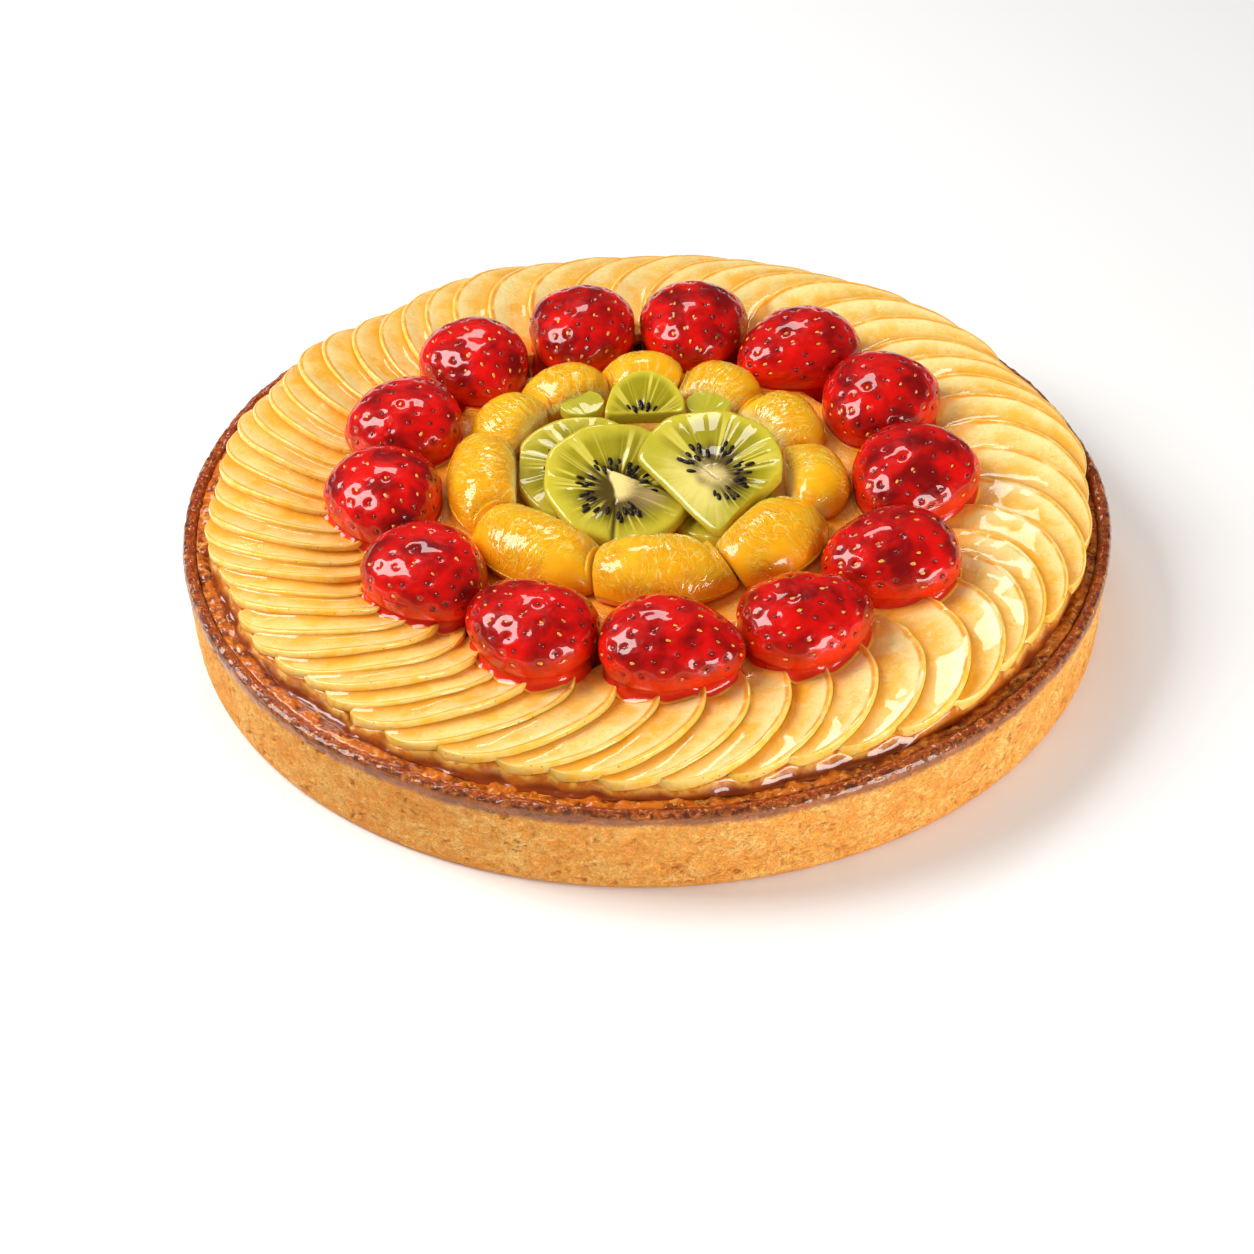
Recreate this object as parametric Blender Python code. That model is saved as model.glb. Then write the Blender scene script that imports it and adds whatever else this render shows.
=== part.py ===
# A fruit tart, 260 mm across: a plain-sided crust with a filling, a fanned ring of apple slices,
# a ring of halved strawberries, a ring of mandarin segments and a heap of kiwi slices.
# Sizes here are in millimetres and angles in degrees, and each mesh is written in metres.
# Bearings run anticlockwise from +X, and the front of the tart is at -Y, bearing 270.
import math

import bmesh
import bpy
import numpy as np

MM = 0.001

# Crust: a turned shell, a little wider at its rim than at its foot.
RIM_RADIUS = 130.0
FOOT_RADIUS = 128.2
CRUST_HEIGHT = 27.0
CRUST_FLOOR = 4.3
WALL_AT_RIM = 3.8
WALL_AT_FOOT = 5.2
CREST_WAVE = 0.45
SIDE_WAVE = 0.35
CRUST_SIDES = 84

# Filling: level by the wall, raised under the berries, and dished under the kiwi.
FIT_GAP = 0.35
FILLING_BY_WALL = 25.0
FILLING_UNDER_APPLE = 22.8
FILLING_AT_MOUND = 21.6
MOUND_TOP = 33.0
MOUND_RADIUS = 66.5
MOUND_FOOT = 69.5
DISH_RADIUS = 34.0
DISH_TOP = 28.6
FILLING_SIDES = 72

# Apple slices: half moons, each lying over the next one anticlockwise.
SLICE_COUNT = 56
SLICE_THICK = 2.9
SLICE_SINK = 0.45
PAIR_GAP = 0.60
WIDE_PITCH = 7.6
TIGHT_PITCH = 5.1
TIGHT_HALF_ARC = 62.0
SLICE_RING = 98.0
RING_SHIFT = 3.1
SLICE_LENGTH = 56.0
TIGHT_LENGTH = 51.0
SLICE_WIDTH = 22.0
TIGHT_WIDTH = 18.0
SLICE_SLANT = 37.0
TIGHT_SLANT = 25.0
SLICE_BED = 24.7
BED_TILT = 4.6
BED_SPAN = 15.0
TIGHT_LIFT = 1.6
SLICE_STATIONS = 7

# Strawberry halves, cut face down: bearing, ring radius, half length, half width, height, turn of
# the pointed end from +X.
BERRY_FLOOR = 34.0
BERRIES = [
    (103.5, 76.0, 18.4, 16.0, 14.4, 262),
    (78.5, 76.5, 18.6, 16.2, 14.6, 262),
    (53.5, 77.0, 19.0, 16.6, 14.2, 205),
    (27.0, 76.0, 19.4, 16.8, 14.4, 250),
    (358.5, 74.2, 20.0, 17.4, 14.0, 240),
    (329.5, 75.8, 19.4, 16.6, 13.6, 195),
    (302.5, 77.0, 19.0, 16.2, 13.6, 25),
    (274.3, 75.2, 19.6, 16.2, 13.8, 350),
    (244.5, 73.0, 19.2, 16.2, 13.6, 140),
    (216.0, 72.8, 19.2, 16.4, 13.8, 310),
    (186.0, 72.6, 19.0, 16.4, 13.8, 285),
    (156.5, 73.9, 19.0, 16.6, 14.2, 75),
    (130.0, 75.5, 18.0, 16.0, 14.2, 290),
]
BERRY_GAP = 0.4
BERRY_TAPER = 0.20
BERRY_ROUND = 14
BERRY_UP = 5

# Mandarin segments, lying on a flat side with the straight edge towards the middle: bearing, ring
# radius of the middle, half length, width, height, turn of the length from the ring's tangent.
MANDARIN_FLOOR = 33.35
MANDARINS = [
    (357.5, 47.8, 15.5, 19.0, 11.6, 8),
    (33.0, 48.0, 15.0, 20.0, 11.8, 4),
    (62.5, 48.5, 14.0, 20.5, 12.0, 0),
    (90.0, 49.0, 14.0, 20.0, 12.2, 0),
    (118.0, 48.5, 14.5, 21.0, 12.2, -4),
    (145.0, 47.5, 13.0, 20.0, 11.8, 6),
    (179.5, 45.6, 24.5, 20.5, 12.8, 2),
    (229.0, 45.8, 22.0, 24.5, 13.2, 3),
    (275.0, 45.2, 22.0, 24.8, 13.4, -2),
    (318.0, 47.0, 20.5, 24.5, 13.2, 5),
]
MANDARIN_CREST = 0.44
MANDARIN_LEAN = 24.0
MANDARIN_GAP = 0.4
MANDARIN_STATIONS = 8
MANDARIN_AROUND = 5

# Kiwi slices: centre and its height, half sizes along X and Y, thickness, rise along X and Y, and
# the sector that is there, from one bearing to another.
FLAP_RISE = 1.1
FLAP_START = 245.0
FLAP_END = 335.0
KIWI_SLICES = {
    "kiwi_back": (0.5, 25.0, 42.8, 11.5, 13.0, 3.6, 0.0, 0.40, 0, 180),
    "kiwi_back_left": (-17.5, 30.5, 42.0, 6.5, 5.0, 3.4, 0.05, 0.20, 0, 360),
    "kiwi_back_right": (18.5, 29.0, 42.0, 6.5, 5.0, 3.4, 0.0, 0.20, 0, 360),
    "kiwi_left": (-16.5, 4.0, 38.2, 20.5, 20.5, 3.6, -0.05, 0.18, 0, 360),
    "kiwi_under": (21.0, -9.0, 35.4, 15.0, 15.5, 3.6, 0.14, 0.12, 0, 360),
    "kiwi_front": (-7.5, -6.5, 41.0, 21.0, 22.5, 3.6, -0.12, 0.20, -24, FLAP_END),
    "kiwi_top": (18.0, -7.0, 46.0, 21.0, 22.5, 4.2, 0.02, 0.20, 0, 360),
}
KIWI_LOBES = 9
KIWI_LOBE_DEPTH = 0.012
KIWI_ROUND = 30
FOLD_BEARING = 216.0
FOLD_FROM_CORE = 6.0
FOLD_REACH = 13.2
FOLD_DROP = 0.32

BROWN_CRUST = (0.62, 0.34, 0.13)
BAKED_FILLING = (0.55, 0.29, 0.09)
APPLE_FLESH = (0.90, 0.66, 0.26)
STRAWBERRY_RED = (0.55, 0.01, 0.01)
MANDARIN_ORANGE = (0.90, 0.36, 0.02)
KIWI_GREEN = (0.50, 0.55, 0.10)


def clear_scene():
    for obj in list(bpy.data.objects):
        bpy.data.objects.remove(obj, do_unlink=True)


def food_material(name, colour, roughness):
    material = bpy.data.materials.new(name)
    material.use_nodes = True
    shader = material.node_tree.nodes["Principled BSDF"]
    shader.inputs["Base Color"].default_value = (*colour, 1.0)
    shader.inputs["Roughness"].default_value = roughness
    shader.inputs["Metallic"].default_value = 0.0
    return material


def add_solid(name, points, faces, material):
    """A mesh object from points in millimetres, shaded smooth but for its sharp edges."""
    mesh = bpy.data.meshes.new(name)
    mesh.from_pydata([tuple(p) for p in np.asarray(points) * MM], [], faces)
    mesh.materials.append(material)
    mesh.shade_smooth()
    mesh.set_sharp_from_angle(angle=math.radians(40))
    obj = bpy.data.objects.new(name, mesh)
    bpy.context.scene.collection.objects.link(obj)
    return obj


def polar(bearing, radius):
    angle = np.radians(bearing)
    return np.stack([radius * np.cos(angle), radius * np.sin(angle)], axis=-1)


def turned_solid(name, radii, heights, material):
    """A solid of revolution with uneven rings: each row of radii and heights is one ring, and the
    first and last rows close on the axis."""
    rings, sides = radii.shape
    xy = polar(np.arange(sides) * 360.0 / sides, radii)
    points = np.concatenate([xy, heights[..., None]], axis=-1).reshape(-1, 3)
    first = len(points)
    points = np.vstack([points, [0, 0, heights[0].mean()], [0, 0, heights[-1].mean()]])
    faces = []
    for j in range(sides):
        k = (j + 1) % sides
        faces.append((first, k, j))
        faces.append((first + 1, (rings - 1) * sides + j, (rings - 1) * sides + k))
        for i in range(rings - 1):
            a = i * sides
            faces.append((a + j, a + k, a + sides + k, a + sides + j))
    return add_solid(name, points, faces, material)


def wave(bearing, depth, turns, phase):
    return depth * np.sin(np.radians(turns * bearing + phase))


def inner_wall(height):
    """Radius of the crust's inner face at a height above its foot."""
    share = (height - CRUST_FLOOR) / (CRUST_HEIGHT - CRUST_FLOOR)
    low = FOOT_RADIUS - WALL_AT_FOOT
    return low + (RIM_RADIUS - WALL_AT_RIM - low) * share


def make_crust():
    """Bottom, outer side, rim and inside, as rings from the foot's centre up and over."""
    bearing = np.arange(CRUST_SIDES) * 360.0 / CRUST_SIDES
    side = wave(bearing, SIDE_WAVE, 5, 20) + wave(bearing, SIDE_WAVE / 2, 13, 70)
    crest = wave(bearing, CREST_WAVE, 7, 110) + wave(bearing, CREST_WAVE / 2, 17, 10)
    crest_mid = RIM_RADIUS - WALL_AT_RIM / 2
    profile = [
        (FOOT_RADIUS - 1.6, 0.0, 0.0, 0.0),
        (FOOT_RADIUS, 1.4, 0.3, 0.0),
        ((FOOT_RADIUS + RIM_RADIUS) / 2, CRUST_HEIGHT / 2, 1.0, 0.0),
        (RIM_RADIUS, CRUST_HEIGHT - 1.6, 0.5, 0.6),
        (RIM_RADIUS - 0.8, CRUST_HEIGHT - 0.4, 0.3, 1.0),
        (crest_mid, CRUST_HEIGHT, 0.0, 1.0),
        (inner_wall(CRUST_HEIGHT) + 0.4, CRUST_HEIGHT - 0.8, 0.0, 1.0),
        (inner_wall(CRUST_FLOOR), CRUST_FLOOR, 0.0, 0.0),
    ]
    radii = np.array([r + s * side for r, z, s, c in profile])
    heights = np.array([z + c * crest for r, z, s, c in profile])
    material = food_material("baked crust", BROWN_CRUST, 0.75)
    return turned_solid("crust", radii, heights, material)


def filling_top(radius):
    """Height of the filling by radius: the dish, the mound, the bed of the apples, the wall."""
    marks = [DISH_RADIUS, DISH_RADIUS + 4, MOUND_RADIUS, MOUND_FOOT, 90, 100, 112, 119, RIM_RADIUS]
    levels = [
        DISH_TOP,
        MOUND_TOP,
        MOUND_TOP,
        FILLING_AT_MOUND,
        FILLING_AT_MOUND,
        FILLING_UNDER_APPLE,
        FILLING_UNDER_APPLE,
        FILLING_BY_WALL - 0.6,
        FILLING_BY_WALL + 0.3,
    ]
    return np.interp(radius, marks, levels)


def make_filling():
    """The filling stands clear of the crust by the fit gap, with a lumpy top near the wall."""
    bearing = np.arange(FILLING_SIDES) * 360.0 / FILLING_SIDES
    lumps = wave(bearing, 0.5, 11, 40) + wave(bearing, 0.35, 19, 150)
    low = CRUST_FLOOR + FIT_GAP
    edge = inner_wall(FILLING_BY_WALL) - FIT_GAP - 0.15
    radii = [inner_wall(low) - FIT_GAP - 0.15, edge]
    heights = [low, FILLING_BY_WALL]
    lumpy = [0.0, 0.6]
    for radius in (122, 117, 112, 100, 90, MOUND_FOOT, MOUND_RADIUS, DISH_RADIUS + 4, DISH_RADIUS, 15):
        radii.append(radius)
        heights.append(float(filling_top(radius)))
        lumpy.append(1.0 if 115 < radius < 125 else 0.0)
    rings = len(radii)
    radii = np.repeat(np.array(radii)[:, None], FILLING_SIDES, axis=1)
    heights = np.array([heights[i] + lumpy[i] * lumps for i in range(rings)])
    material = food_material("baked filling", BAKED_FILLING, 0.4)
    return turned_solid("filling", radii, heights, material)


def crowding(bearing):
    """1 where the slices crowd together, at the left of the tart, and 0 at its right."""
    away = np.abs((bearing - 180.0 + 180.0) % 360.0 - 180.0)
    return 1.0 / (1.0 + (away / TIGHT_HALF_ARC) ** 6)


FAN_BEARINGS = np.linspace(-90.0, 450.0, 5401)
FAN_RATE = 1.0 / (WIDE_PITCH - (WIDE_PITCH - TIGHT_PITCH) * crowding(FAN_BEARINGS))
FAN_SUM = np.concatenate([[0.0], np.cumsum((FAN_RATE[1:] + FAN_RATE[:-1]) / 2 * 0.1)])
FAN_TURN = np.interp(360.0, FAN_BEARINGS, FAN_SUM) - np.interp(0.0, FAN_BEARINGS, FAN_SUM)
FAN_SUM = (FAN_SUM - np.interp(0.0, FAN_BEARINGS, FAN_SUM)) * SLICE_COUNT / FAN_TURN


def slice_bearing(index):
    return float(np.interp(index, FAN_SUM, FAN_BEARINGS))


def slice_number(bearing):
    """The number of slices from bearing 0 to this one, as a smooth count."""
    return np.interp(bearing, FAN_BEARINGS, FAN_SUM)


def slice_height(x, y, index):
    """Underside of a slice: a ramp that climbs one slice's thickness for each slice passed, so that
    every slice lies on the next one wherever they cross."""
    centre = slice_bearing(index)
    bearing = np.degrees(np.arctan2(y, x))
    bearing = centre + (bearing - centre + 180.0) % 360.0 - 180.0
    step = SLICE_THICK + (PAIR_GAP - SLICE_SINK) / 2
    climbed = slice_number(bearing) * step
    level = (index // 2) * 2 * step + (index % 2) * (SLICE_THICK - SLICE_SINK)
    out = np.hypot(x, y) - SLICE_RING
    dish = BED_TILT * np.tanh(out / BED_SPAN)
    bed = SLICE_BED + TIGHT_LIFT * crowding(bearing) + dish
    return bed + climbed - level


def slice_outline(index):
    """Straight and round edge of a half moon at stations from its inner tip to its outer tip."""
    crowd = float(crowding(slice_bearing(index)))
    uneven = math.sin(index * 1.3), math.sin(index * 0.9 + 1.0), math.sin(index * 1.7 + 2.0)
    length = (SLICE_LENGTH + (TIGHT_LENGTH - SLICE_LENGTH) * crowd) * (1 + 0.02 * uneven[0])
    width = (SLICE_WIDTH + (TIGHT_WIDTH - SLICE_WIDTH) * crowd) * (1 + 0.04 * uneven[1])
    slant = math.radians(SLICE_SLANT + (TIGHT_SLANT - SLICE_SLANT) * crowd + 2.0 * uneven[2])
    along = -np.cos(np.linspace(0, math.pi, SLICE_STATIONS + 1))
    bulge = np.sqrt(1 - along**2)
    bearing = math.radians(slice_bearing(index) + 0.5 * uneven[1])
    outward = np.array([math.cos(bearing), math.sin(bearing)])
    onward = np.array([-outward[1], outward[0]])
    axis = outward * math.cos(slant) - onward * math.sin(slant)
    across = outward * math.sin(slant) + onward * math.cos(slant)
    middle = outward * (SLICE_RING + 0.8 * uneven[0]) + np.array([0.0, RING_SHIFT])
    spine = middle + along[:, None] * axis * length / 2
    straight = spine - across * (0.10 * width * bulge)[:, None]
    round_edge = spine + across * (width * bulge)[:, None]
    return straight, round_edge


def slice_solid(name, index, material):
    straight, round_edge = slice_outline(index)
    inside = range(1, SLICE_STATIONS)
    middle = (straight + round_edge) / 2
    rows = [[straight[0]]] + [[straight[i], middle[i], round_edge[i]] for i in inside]
    rows.append([straight[-1]])
    flat = np.array([p for row in rows for p in row])
    under = slice_height(flat[:, 0], flat[:, 1], index)
    count = len(flat)
    points = np.vstack([np.c_[flat, under + SLICE_THICK], np.c_[flat, under]])
    tops = [(0, 1, 2), (0, 2, 3)]
    for i in range(SLICE_STATIONS - 2):
        a = 1 + 3 * i
        tops.append((a, a + 3, a + 4, a + 1))
        tops.append((a + 1, a + 4, a + 5, a + 2))
    tops += [(count - 1, count - 3, count - 4), (count - 1, count - 2, count - 3)]
    rim = [0] + [1 + 3 * i for i in range(SLICE_STATIONS - 1)] + [count - 1]
    rim += [3 + 3 * i for i in reversed(range(SLICE_STATIONS - 1))]
    faces = list(tops)
    faces += [tuple(p + count for p in reversed(face)) for face in tops]
    for a, b in zip(rim, rim[1:] + rim[:1]):
        faces.append((b, a, a + count, b + count))
    return add_solid(name, points, faces, material)


def islands(bm):
    """Lists of the vertices that are joined by edges."""
    found = []
    left = set(bm.verts)
    while left:
        island = [left.pop()]
        for vertex in island:
            for edge in vertex.link_edges:
                other = edge.other_vert(vertex)
                if other in left:
                    left.remove(other)
                    island.append(other)
        found.append(island)
    return found


def keep_outer_skin(mesh):
    """Fills the small hollows that two fused slices shut in, by keeping only the largest island."""
    bm = bmesh.new()
    bm.from_mesh(mesh)
    for island in sorted(islands(bm), key=len)[:-1]:
        bmesh.ops.delete(bm, geom=island, context="VERTS")
    bm.to_mesh(mesh)
    bm.free()


def make_apples():
    """Neighbouring slices are fused in pairs, each pair one solid."""
    material = food_material("apple flesh", APPLE_FLESH, 0.3)
    for pair in range(SLICE_COUNT // 2):
        upper = slice_solid(f"apple_{pair + 1:02d}", 2 * pair, material)
        lower = slice_solid("slice_below", 2 * pair + 1, material)
        union = upper.modifiers.new("fuse", "BOOLEAN")
        union.operation = "UNION"
        union.object = lower
        graph = bpy.context.evaluated_depsgraph_get()
        fused = bpy.data.meshes.new_from_object(upper.evaluated_get(graph))
        upper.modifiers.clear()
        keep_outer_skin(fused)
        fused.set_sharp_from_angle(angle=math.radians(40))
        upper.data = fused
        bpy.data.objects.remove(lower, do_unlink=True)


def dome_faces(around, up):
    """Faces of a closed dome: rings from the rim up, one top point, one point under the middle."""
    top = around * up
    faces = []
    for j in range(around):
        k = (j + 1) % around
        for i in range(up - 1):
            faces.append((i * around + j, i * around + k, (i + 1) * around + k, (i + 1) * around + j))
        faces.append(((up - 1) * around + j, (up - 1) * around + k, top))
        faces.append((j, top + 1, k))
    return faces


def press(points, foot, normal, gap):
    """Points beyond a plane are pushed back to it, level, so that neighbours meet face to face."""
    normal = np.asarray(normal, float)
    level = normal * [1, 1, 0]
    beyond = (points - foot) @ normal + gap / 2
    return points - np.maximum(beyond, 0.0)[:, None] * level / (level @ level)


def placed(points, bearing, ring, facing, floor):
    """Turns a piece's own points to its facing and sets them on the ring at their floor."""
    turn = math.radians(facing)
    x = points[:, 0] * math.cos(turn) - points[:, 1] * math.sin(turn)
    y = points[:, 0] * math.sin(turn) + points[:, 1] * math.cos(turn)
    return np.c_[np.c_[x, y] + polar(bearing, ring), points[:, 2] + floor]


def berry_points(length, width, height):
    """A half berry on its cut face: an oval that narrows to its point, domed with a full side."""
    angle = np.arange(BERRY_ROUND) * 2 * math.pi / BERRY_ROUND
    climb = np.linspace(-0.16, 1.0, BERRY_UP + 1)[:-1] * math.pi / 2
    spread = np.cos(climb)[:, None] ** 0.9
    x = np.cos(angle) * spread
    y = np.sin(angle) * spread * (1 - BERRY_TAPER * x)
    lift = (np.sin(climb) - math.sin(climb[0])) / (1 - math.sin(climb[0]))
    z = lift[:, None] * (1 - 0.10 * x)
    ring = np.stack([x * length, y * width, z * height], axis=-1).reshape(-1, 3)
    return np.vstack([ring, [0, 0, height], [0, 0, 0]])


def berry_centre(number):
    bearing, ring = BERRIES[number % len(BERRIES)][:2]
    return np.append(polar(bearing, ring), BERRY_FLOOR)


def make_berries():
    material = food_material("strawberry", STRAWBERRY_RED, 0.15)
    faces = dome_faces(BERRY_ROUND, BERRY_UP)
    for number, (bearing, ring, length, width, height, turn) in enumerate(BERRIES):
        points = placed(berry_points(length, width, height), bearing, ring, turn, BERRY_FLOOR)
        here = berry_centre(number)
        for neighbour in (berry_centre(number - 1), berry_centre(number + 1)):
            way = (neighbour - here) / np.linalg.norm(neighbour - here)
            points = press(points, (here + neighbour) / 2, way, BERRY_GAP)
        add_solid(f"strawberry_{number + 1:02d}", points, faces, material)


def mandarin_points(length, width, height):
    """A half moon: at each station a closed rib that starts at the straight edge, goes over the
    crest to the round back and returns along the flat side."""
    along = np.sin(np.linspace(-math.pi / 2, math.pi / 2, MANDARIN_STATIONS + 1)[1:-1])
    fullness = np.sqrt(1 - along**2)
    share = 0.5 - 0.5 * np.cos(np.linspace(0, math.pi, MANDARIN_AROUND + 1))
    power = math.log(0.5) / math.log(MANDARIN_CREST)
    arch = (1 - np.abs(2 * share**power - 1) ** 2.4) ** 0.6
    over = np.c_[share, np.maximum(arch, 0.0) * 0.85 + 0.15]
    over[0, 1] = over[-1, 1] = 0.30
    under = np.c_[share[[-1, 0]], [0.0, 0.0]] * [[0.94, 1], [1, 1]] + [[0, 0], [0.05, 0]]
    rib = np.vstack([over, under])
    x = np.repeat(along[:, None] * length, len(rib), axis=1)
    y = (rib[None, :, 0] - 0.5) * width * (0.35 + 0.65 * fullness[:, None])
    y += 0.28 * width * (fullness[:, None] - 1)
    z = rib[None, :, 1] * height * (0.4 + 0.6 * fullness[:, None])
    return np.stack([x, y, z], axis=-1)


def mandarin_joint(number):
    """Foot and normal of the leaning plane where a segment meets the one after it."""
    bearing = MANDARINS[number % len(MANDARINS)][0]
    onward = MANDARINS[(number + 1) % len(MANDARINS)][0]
    middle = math.radians(bearing + ((onward - bearing) % 360.0) / 2)
    lean = math.radians(MANDARIN_LEAN)
    foot = [0.0, 0.0, MANDARIN_FLOOR + 5.0]
    return foot, [-math.sin(middle) * math.cos(lean), math.cos(middle) * math.cos(lean), math.sin(lean)]


def mandarin_inside(number):
    """Foot and outward normal of the upright plane at a segment's straight inner edge."""
    bearing, ring, length, width = MANDARINS[number][:4]
    foot = polar(bearing, ring - width / 2)
    return np.append(foot, MANDARIN_FLOOR), np.append(polar(bearing, 1.0), 0.0)


def make_mandarins():
    material = food_material("mandarin", MANDARIN_ORANGE, 0.2)
    for number, (bearing, ring, length, width, height, turn) in enumerate(MANDARINS):
        grid = mandarin_points(length, width, height)
        stations, around = grid.shape[:2]
        faces = [tuple(range(around))]
        faces.append(tuple((stations - 1) * around + k for k in reversed(range(around))))
        for i in range(stations - 1):
            for j in range(around):
                k = (j + 1) % around
                a = i * around
                faces.append((a + k, a + j, a + around + j, a + around + k))
        facing = bearing - 90.0 + turn
        points = placed(grid.reshape(-1, 3), bearing, ring, facing, MANDARIN_FLOOR)
        foot, normal = mandarin_joint(number)
        points = press(points, foot, normal, MANDARIN_GAP)
        foot, normal = mandarin_joint(number - 1)
        points = press(points, foot, -np.array(normal), MANDARIN_GAP)
        foot, normal = mandarin_inside(number)
        points = press(points, foot, -normal, MANDARIN_GAP)
        add_solid(f"mandarin_{number + 1:02d}", points, faces, material)


def kiwi_rise(name, x, y, bearing):
    """How far a slice bends from its plane: a lifted flap at the front, a folded edge on top."""
    if name == "kiwi_front":
        share = np.clip((bearing - FLAP_START) / (FLAP_END - FLAP_START), 0, 1)
        return FLAP_RISE * share**1.5 * np.clip(np.hypot(x, y) / 8.0, 0, 1)
    if name == "kiwi_top":
        beyond = x * math.cos(math.radians(FOLD_BEARING)) + y * math.sin(math.radians(FOLD_BEARING))
        return -FOLD_DROP * np.maximum(beyond - FOLD_FROM_CORE, 0.0)
    return np.zeros_like(x)


def kiwi_reach(name, bearing, half_x, half_y):
    """A slice's lobed outline, in shares of its half sizes; the top one ends straight past its fold."""
    lobes = 1 + KIWI_LOBE_DEPTH * np.cos(np.radians(KIWI_LOBES * bearing + 40 * KIWI_SLICES[name][0]))
    if name != "kiwi_top":
        return lobes
    lean = polar(bearing, 1.0) * [half_x, half_y] @ polar(FOLD_BEARING, 1.0)
    return np.minimum(lobes, FOLD_REACH / np.maximum(lean, 1.0))


def make_kiwi():
    """Each slice is a disc with a lobed outline and rounded rim; a cut one has two end walls."""
    material = food_material("kiwi", KIWI_GREEN, 0.25)
    for name, sizes in KIWI_SLICES.items():
        x0, y0, z0, half_x, half_y, thick, rise_x, rise_y, start, end = sizes
        whole = end - start >= 360
        small = half_x < 15
        count = KIWI_ROUND // 2 if small else KIWI_ROUND
        bearing = np.linspace(start, end, count + 1)
        if whole:
            bearing = bearing[:-1]
        reach = kiwi_reach(name, bearing, half_x, half_y)
        shares = [0.0, 0.45, 0.97, 1.0, 1.0, 0.95, 0.45, 0.0]
        drops = [0.0, 0.0, 0.0, 0.25, 0.75, 1.0, 1.0, 1.0]
        rings = []
        for share, drop in zip(shares, drops):
            flat = polar(bearing, share * reach) * [half_x, half_y]
            x, y = flat.T
            bend = kiwi_rise(name, x, y, bearing)
            under_bend = bend if name == "kiwi_front" else np.zeros_like(bend)
            z = z0 + rise_x * x + rise_y * y + bend * (1 - drop) + under_bend * drop - drop * thick
            ring = np.c_[x + x0, y + y0, z]
            for number in range(len(MANDARINS)):
                foot, normal = mandarin_inside(number)
                ring = press(ring, foot, normal, MANDARIN_GAP)
            rings.append(ring)
        add_kiwi(name, rings, whole, material)


def add_kiwi(name, rings, whole, material):
    """Joins the rings of a slice, the first and last of which are single points."""
    body = rings[1:-1]
    around = len(body[0])
    points = np.vstack(body + [rings[0][:1], rings[-1][:1]])
    top = around * len(body)
    last = around * (len(body) - 1)
    faces = []
    for j in range(around if whole else around - 1):
        k = (j + 1) % around
        faces.append((top, j, k))
        faces.append((top + 1, last + k, last + j))
        for i in range(len(body) - 1):
            a = i * around
            faces.append((a + k, a + j, a + around + j, a + around + k))
    if not whole:
        low_wall = [top] + [i * around for i in range(len(body))] + [top + 1]
        high_wall = [top] + [(i + 1) * around - 1 for i in range(len(body))] + [top + 1]
        faces.append(tuple(reversed(low_wall)))
        faces.append(tuple(high_wall))
    add_solid(name, points, faces, material)


clear_scene()
make_crust()
make_filling()
make_apples()
make_berries()
make_mandarins()
make_kiwi()
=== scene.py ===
import bpy
import numpy as np
from mathutils import Matrix, Vector


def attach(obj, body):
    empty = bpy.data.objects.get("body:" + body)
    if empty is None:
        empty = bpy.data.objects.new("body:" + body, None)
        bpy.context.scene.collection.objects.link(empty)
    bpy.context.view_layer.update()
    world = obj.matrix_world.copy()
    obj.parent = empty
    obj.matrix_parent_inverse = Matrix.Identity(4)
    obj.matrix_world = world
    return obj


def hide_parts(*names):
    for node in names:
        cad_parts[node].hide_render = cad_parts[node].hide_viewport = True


mm = 0.001
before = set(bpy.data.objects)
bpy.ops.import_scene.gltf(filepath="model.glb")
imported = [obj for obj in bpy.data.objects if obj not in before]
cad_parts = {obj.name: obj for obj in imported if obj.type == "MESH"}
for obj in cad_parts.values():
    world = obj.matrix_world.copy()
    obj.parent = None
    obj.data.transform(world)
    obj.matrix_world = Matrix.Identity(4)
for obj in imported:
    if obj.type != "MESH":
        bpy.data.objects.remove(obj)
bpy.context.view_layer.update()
print("frame loaded:", len(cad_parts), "nodes")


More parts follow.
